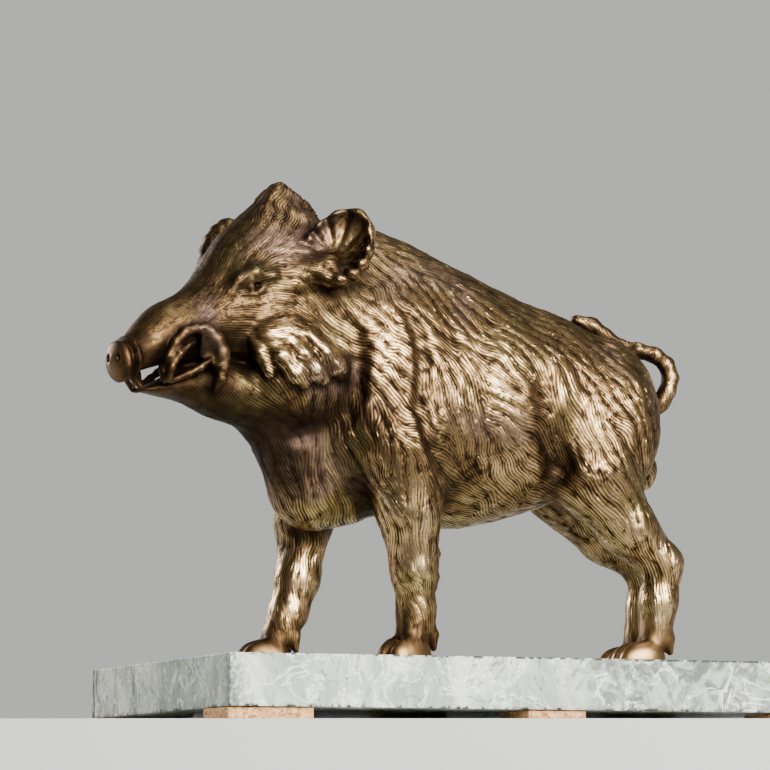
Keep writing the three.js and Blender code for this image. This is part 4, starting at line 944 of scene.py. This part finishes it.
def patinated_bronze():
    """Dark brown in the grooves, rubbed back to golden metal on the ridges, with warm and green clouds."""
    b = Finish("Patinated bronze", **{"Metallic": 1.0, "IOR": 1.5})
    comb = b.node("ShaderNodeAttribute", {"attribute_name": "comb"}, {}, "Fac")
    open_air = b.node("ShaderNodeAttribute", {"attribute_name": "open_air"}, {}, "Fac")
    x, z = [b.node("ShaderNodeSeparateXYZ", {}, {0: b.place}, i) for i in (0, 2)]
    cloud = b.grain(17.0, 4.0, 0.6)
    pits = b.grain(620.0, 4.0, 0.7)
    rubbing_and_painted_light = b.between(comb, 0.25, 0.8, 0.05, 1.0) * b.between(cloud, 0.3, 0.7, 0.75, 1.12)
    rubbing_and_painted_light = rubbing_and_painted_light * b.between(open_air, 0.3, 0.95, 0.15, 1.0)
    # the head keeps more of its dark patina and is darkened further as painted shade; the throat and the
    # chest carry a painted shadow of the jowl over their darker patina; the hooves keep more of their dark
    # patina;
    # the legs are brightened as painted light and the whiskers as a painted highlight
    # painted shadow of the jowl over the throat and chest, on top of their darker patina
    jowl_shadow_and_patina = b.between(x, -0.030, -0.075) * b.between(z, 0.120, 0.150) * b.between(z, 0.205, 0.180)
    # the head darkened to half towards the snout: partly darker patina, partly painted shade
    rubbing_and_painted_light = rubbing_and_painted_light * b.between(x, -0.070, -0.140, 1.0, 0.5) * (1 - 0.65 * jowl_shadow_and_patina)
    # painted highlight on the whisker lobes: their colour is brightened almost twofold
    whiskers = b.between(x, -0.135, -0.120) * b.between(x, -0.055, -0.070)
    whiskers = whiskers * b.between(z, 0.180, 0.205) * b.between(z, 0.250, 0.225)
    # painted light on the legs: colour half as bright again below the body, then halved towards the hooves,
    # which keep more dark patina
    legs = b.between(z, 0.165, 0.125, 1.0, 1.5) * b.between(z, 0.075, 0.055, 1.0, 0.5)
    rubbing_and_painted_light = rubbing_and_painted_light * legs * (1 + 0.9 * whiskers)
    rubbing_and_painted_light = (rubbing_and_painted_light - b.between(pits, 0.62, 0.75) * 0.2).clamped()
    metal = b.node("ShaderNodeValToRGB", {"stops": [
        (0.0, (0.012, 0.007, 0.004)), (0.22, (0.045, 0.026, 0.012)), (0.5, (0.20, 0.12, 0.050)),
        (0.75, (0.40, 0.255, 0.115)), (1.0, (0.60, 0.43, 0.23))]}, {0: rubbing_and_painted_light}, 0)
    green = b.between(b.grain(24.0, 3.0, 0.5), 0.5, 0.66) * 0.25
    metal = b.blend(green, metal, b.blend(rubbing_and_painted_light, (0.03, 0.024, 0.008), (0.44, 0.36, 0.14)))
    plum = b.between(b.grain(19.0, 3.0, 0.5, None, 0.4), 0.54, 0.7) * 0.5
    metal = b.blend(plum, metal, b.blend(rubbing_and_painted_light, (0.03, 0.016, 0.014), (0.40, 0.26, 0.20)))
    # ruddy, half-stripped patches on the snout and jaw, and warm brown hooves
    snout = b.between(x, -0.150, -0.200) * b.between(b.grain(85.0, 4.0, 0.6), 0.45, 0.62)
    hooves = b.between(z, float(slab_high[2]) + 0.040, float(slab_high[2]) + 0.012)
    ruddy = (snout * 0.75 + hooves * 0.3).clamped()
    metal = b.blend(ruddy, metal, b.blend(rubbing_and_painted_light, (0.05, 0.022, 0.010), (0.42, 0.22, 0.09)))
    b.wear({"Base Color": metal, "Roughness": b.between(rubbing_and_painted_light, 0.0, 0.8, 0.55, 0.24) + 0.08 * pits})
    b.bump(pits, 0.22, 0.00025)
    return b.material


boar = cast_in_bronze("bronze_boar")
boar.data.materials.append(patinated_bronze())
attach(boar, "root")
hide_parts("boar")


# ---------------------------------------------------------------- floor, light and camera
# A plain pale block of floor that ends just in front of the slab, because the eye is a little below its top.
# A wide window in front, a smaller one behind, light from the ceiling, and a room brighter at the back.
VIEW_TURN = -21.3        # degrees about Z, from looking along +Y; the floor's front edge lies across it
VIEW_RISE = 6.54         # degrees upwards
FLOOR_MARGIN = 0.045     # how far the floor reaches out in front of the slab's near left corner


def pale_floor():
    """A block under the slab, wide enough to fill the view."""
    mesh = bpy.data.meshes.new("pale_floor")
    bm = bmesh.new()
    bmesh.ops.create_cube(bm, size=1.0)
    front = slab_low[1] - FLOOR_MARGIN
    low, high = Vector((-3.0, front, -1.2)), Vector((4.0, 6.0, 0.0))
    for v in bm.verts:
        v.co = Vector([low[i] + (v.co[i] + 0.5) * (high[i] - low[i]) for i in range(3)])
    bmesh.ops.rotate(bm, verts=bm.verts, cent=Vector((slab_low[0], front, 0)),
                     matrix=Matrix.Rotation(math.radians(VIEW_TURN), 3, "Z"))
    bm.to_mesh(mesh)
    bm.free()
    floor = bpy.data.objects.new("pale_floor", mesh)
    bpy.context.collection.objects.link(floor)
    paint = Finish("Pale floor", **{"Base Color": (0.55, 0.55, 0.54, 1), "Roughness": 0.7})
    mesh.materials.append(paint.material)


def soft_light(name, place, size, power):
    """A rectangle of light, width by height in metres, turned to the middle of the boar."""
    heart = Vector((0.0, 0.0, 0.2))
    lamp = bpy.data.lights.new(name, "AREA")
    lamp.shape, lamp.size, lamp.size_y = "RECTANGLE", size[0], size[1]
    lamp.energy = power
    light = bpy.data.objects.new(name, lamp)
    light.location = place
    light.rotation_euler = (heart - Vector(place)).to_track_quat("-Z", "Y").to_euler()
    bpy.context.collection.objects.link(light)


def pale_room():
    """Walls seen all round: brightest behind the boar, dim above and below."""
    world = bpy.data.worlds.new("Pale room")
    world.use_nodes = True
    room = Nodes(world.node_tree)
    way = room.node("ShaderNodeTexCoord", {}, {}, "Generated")
    height = room.between(room.node("ShaderNodeSeparateXYZ", {}, {0: way}, 2), -1.0, 1.0)
    band = room.node("ShaderNodeValToRGB", {"stops": [
        (0.2, (0.15, 0.15, 0.15)), (0.45, (1.0, 1.0, 1.0)), (0.62, (1.0, 1.0, 1.0)),
        (0.78, (0.25, 0.25, 0.25))]}, {0: height}, 0)
    ahead = room.node("ShaderNodeVectorMath", {"operation": "DOT_PRODUCT"}, {0: way, 1: (0.38, 0.92, 0.0)},
                      "Value")
    paint = {"Color": (0.99, 1.0, 0.95, 1), "Strength": room.between(ahead, -0.3, 0.9, 0.14, 0.57) * band}
    room.plug(room.tree.nodes["Background"], paint)
    bpy.context.scene.world = world


pale_floor()
soft_light("Wide window in front", (0.25, -2.1, 1.0), (2.2, 1.3), 205)
soft_light("Window behind", (-1.3, 1.9, 1.0), (0.9, 1.0), 50)
soft_light("Ceiling", (0.6, -0.2, 2.2), (0.9, 0.9), 12)
pale_room()

# A long lens about 2.4 m off, to the left of the middle and lower than the slab.
FROM_SLAB_TOP = (-0.9103, -2.2158, -0.1031)
lens = bpy.data.cameras.new("Eye")
lens.sensor_width, lens.lens = 36.0, 184.7
camera = bpy.data.objects.new("Eye", lens)
camera.location = Vector(ORIGIN + FROM_SLAB_TOP)
camera.rotation_euler = (math.radians(90 + VIEW_RISE), 0, math.radians(VIEW_TURN))
bpy.context.collection.objects.link(camera)
bpy.context.scene.camera = camera
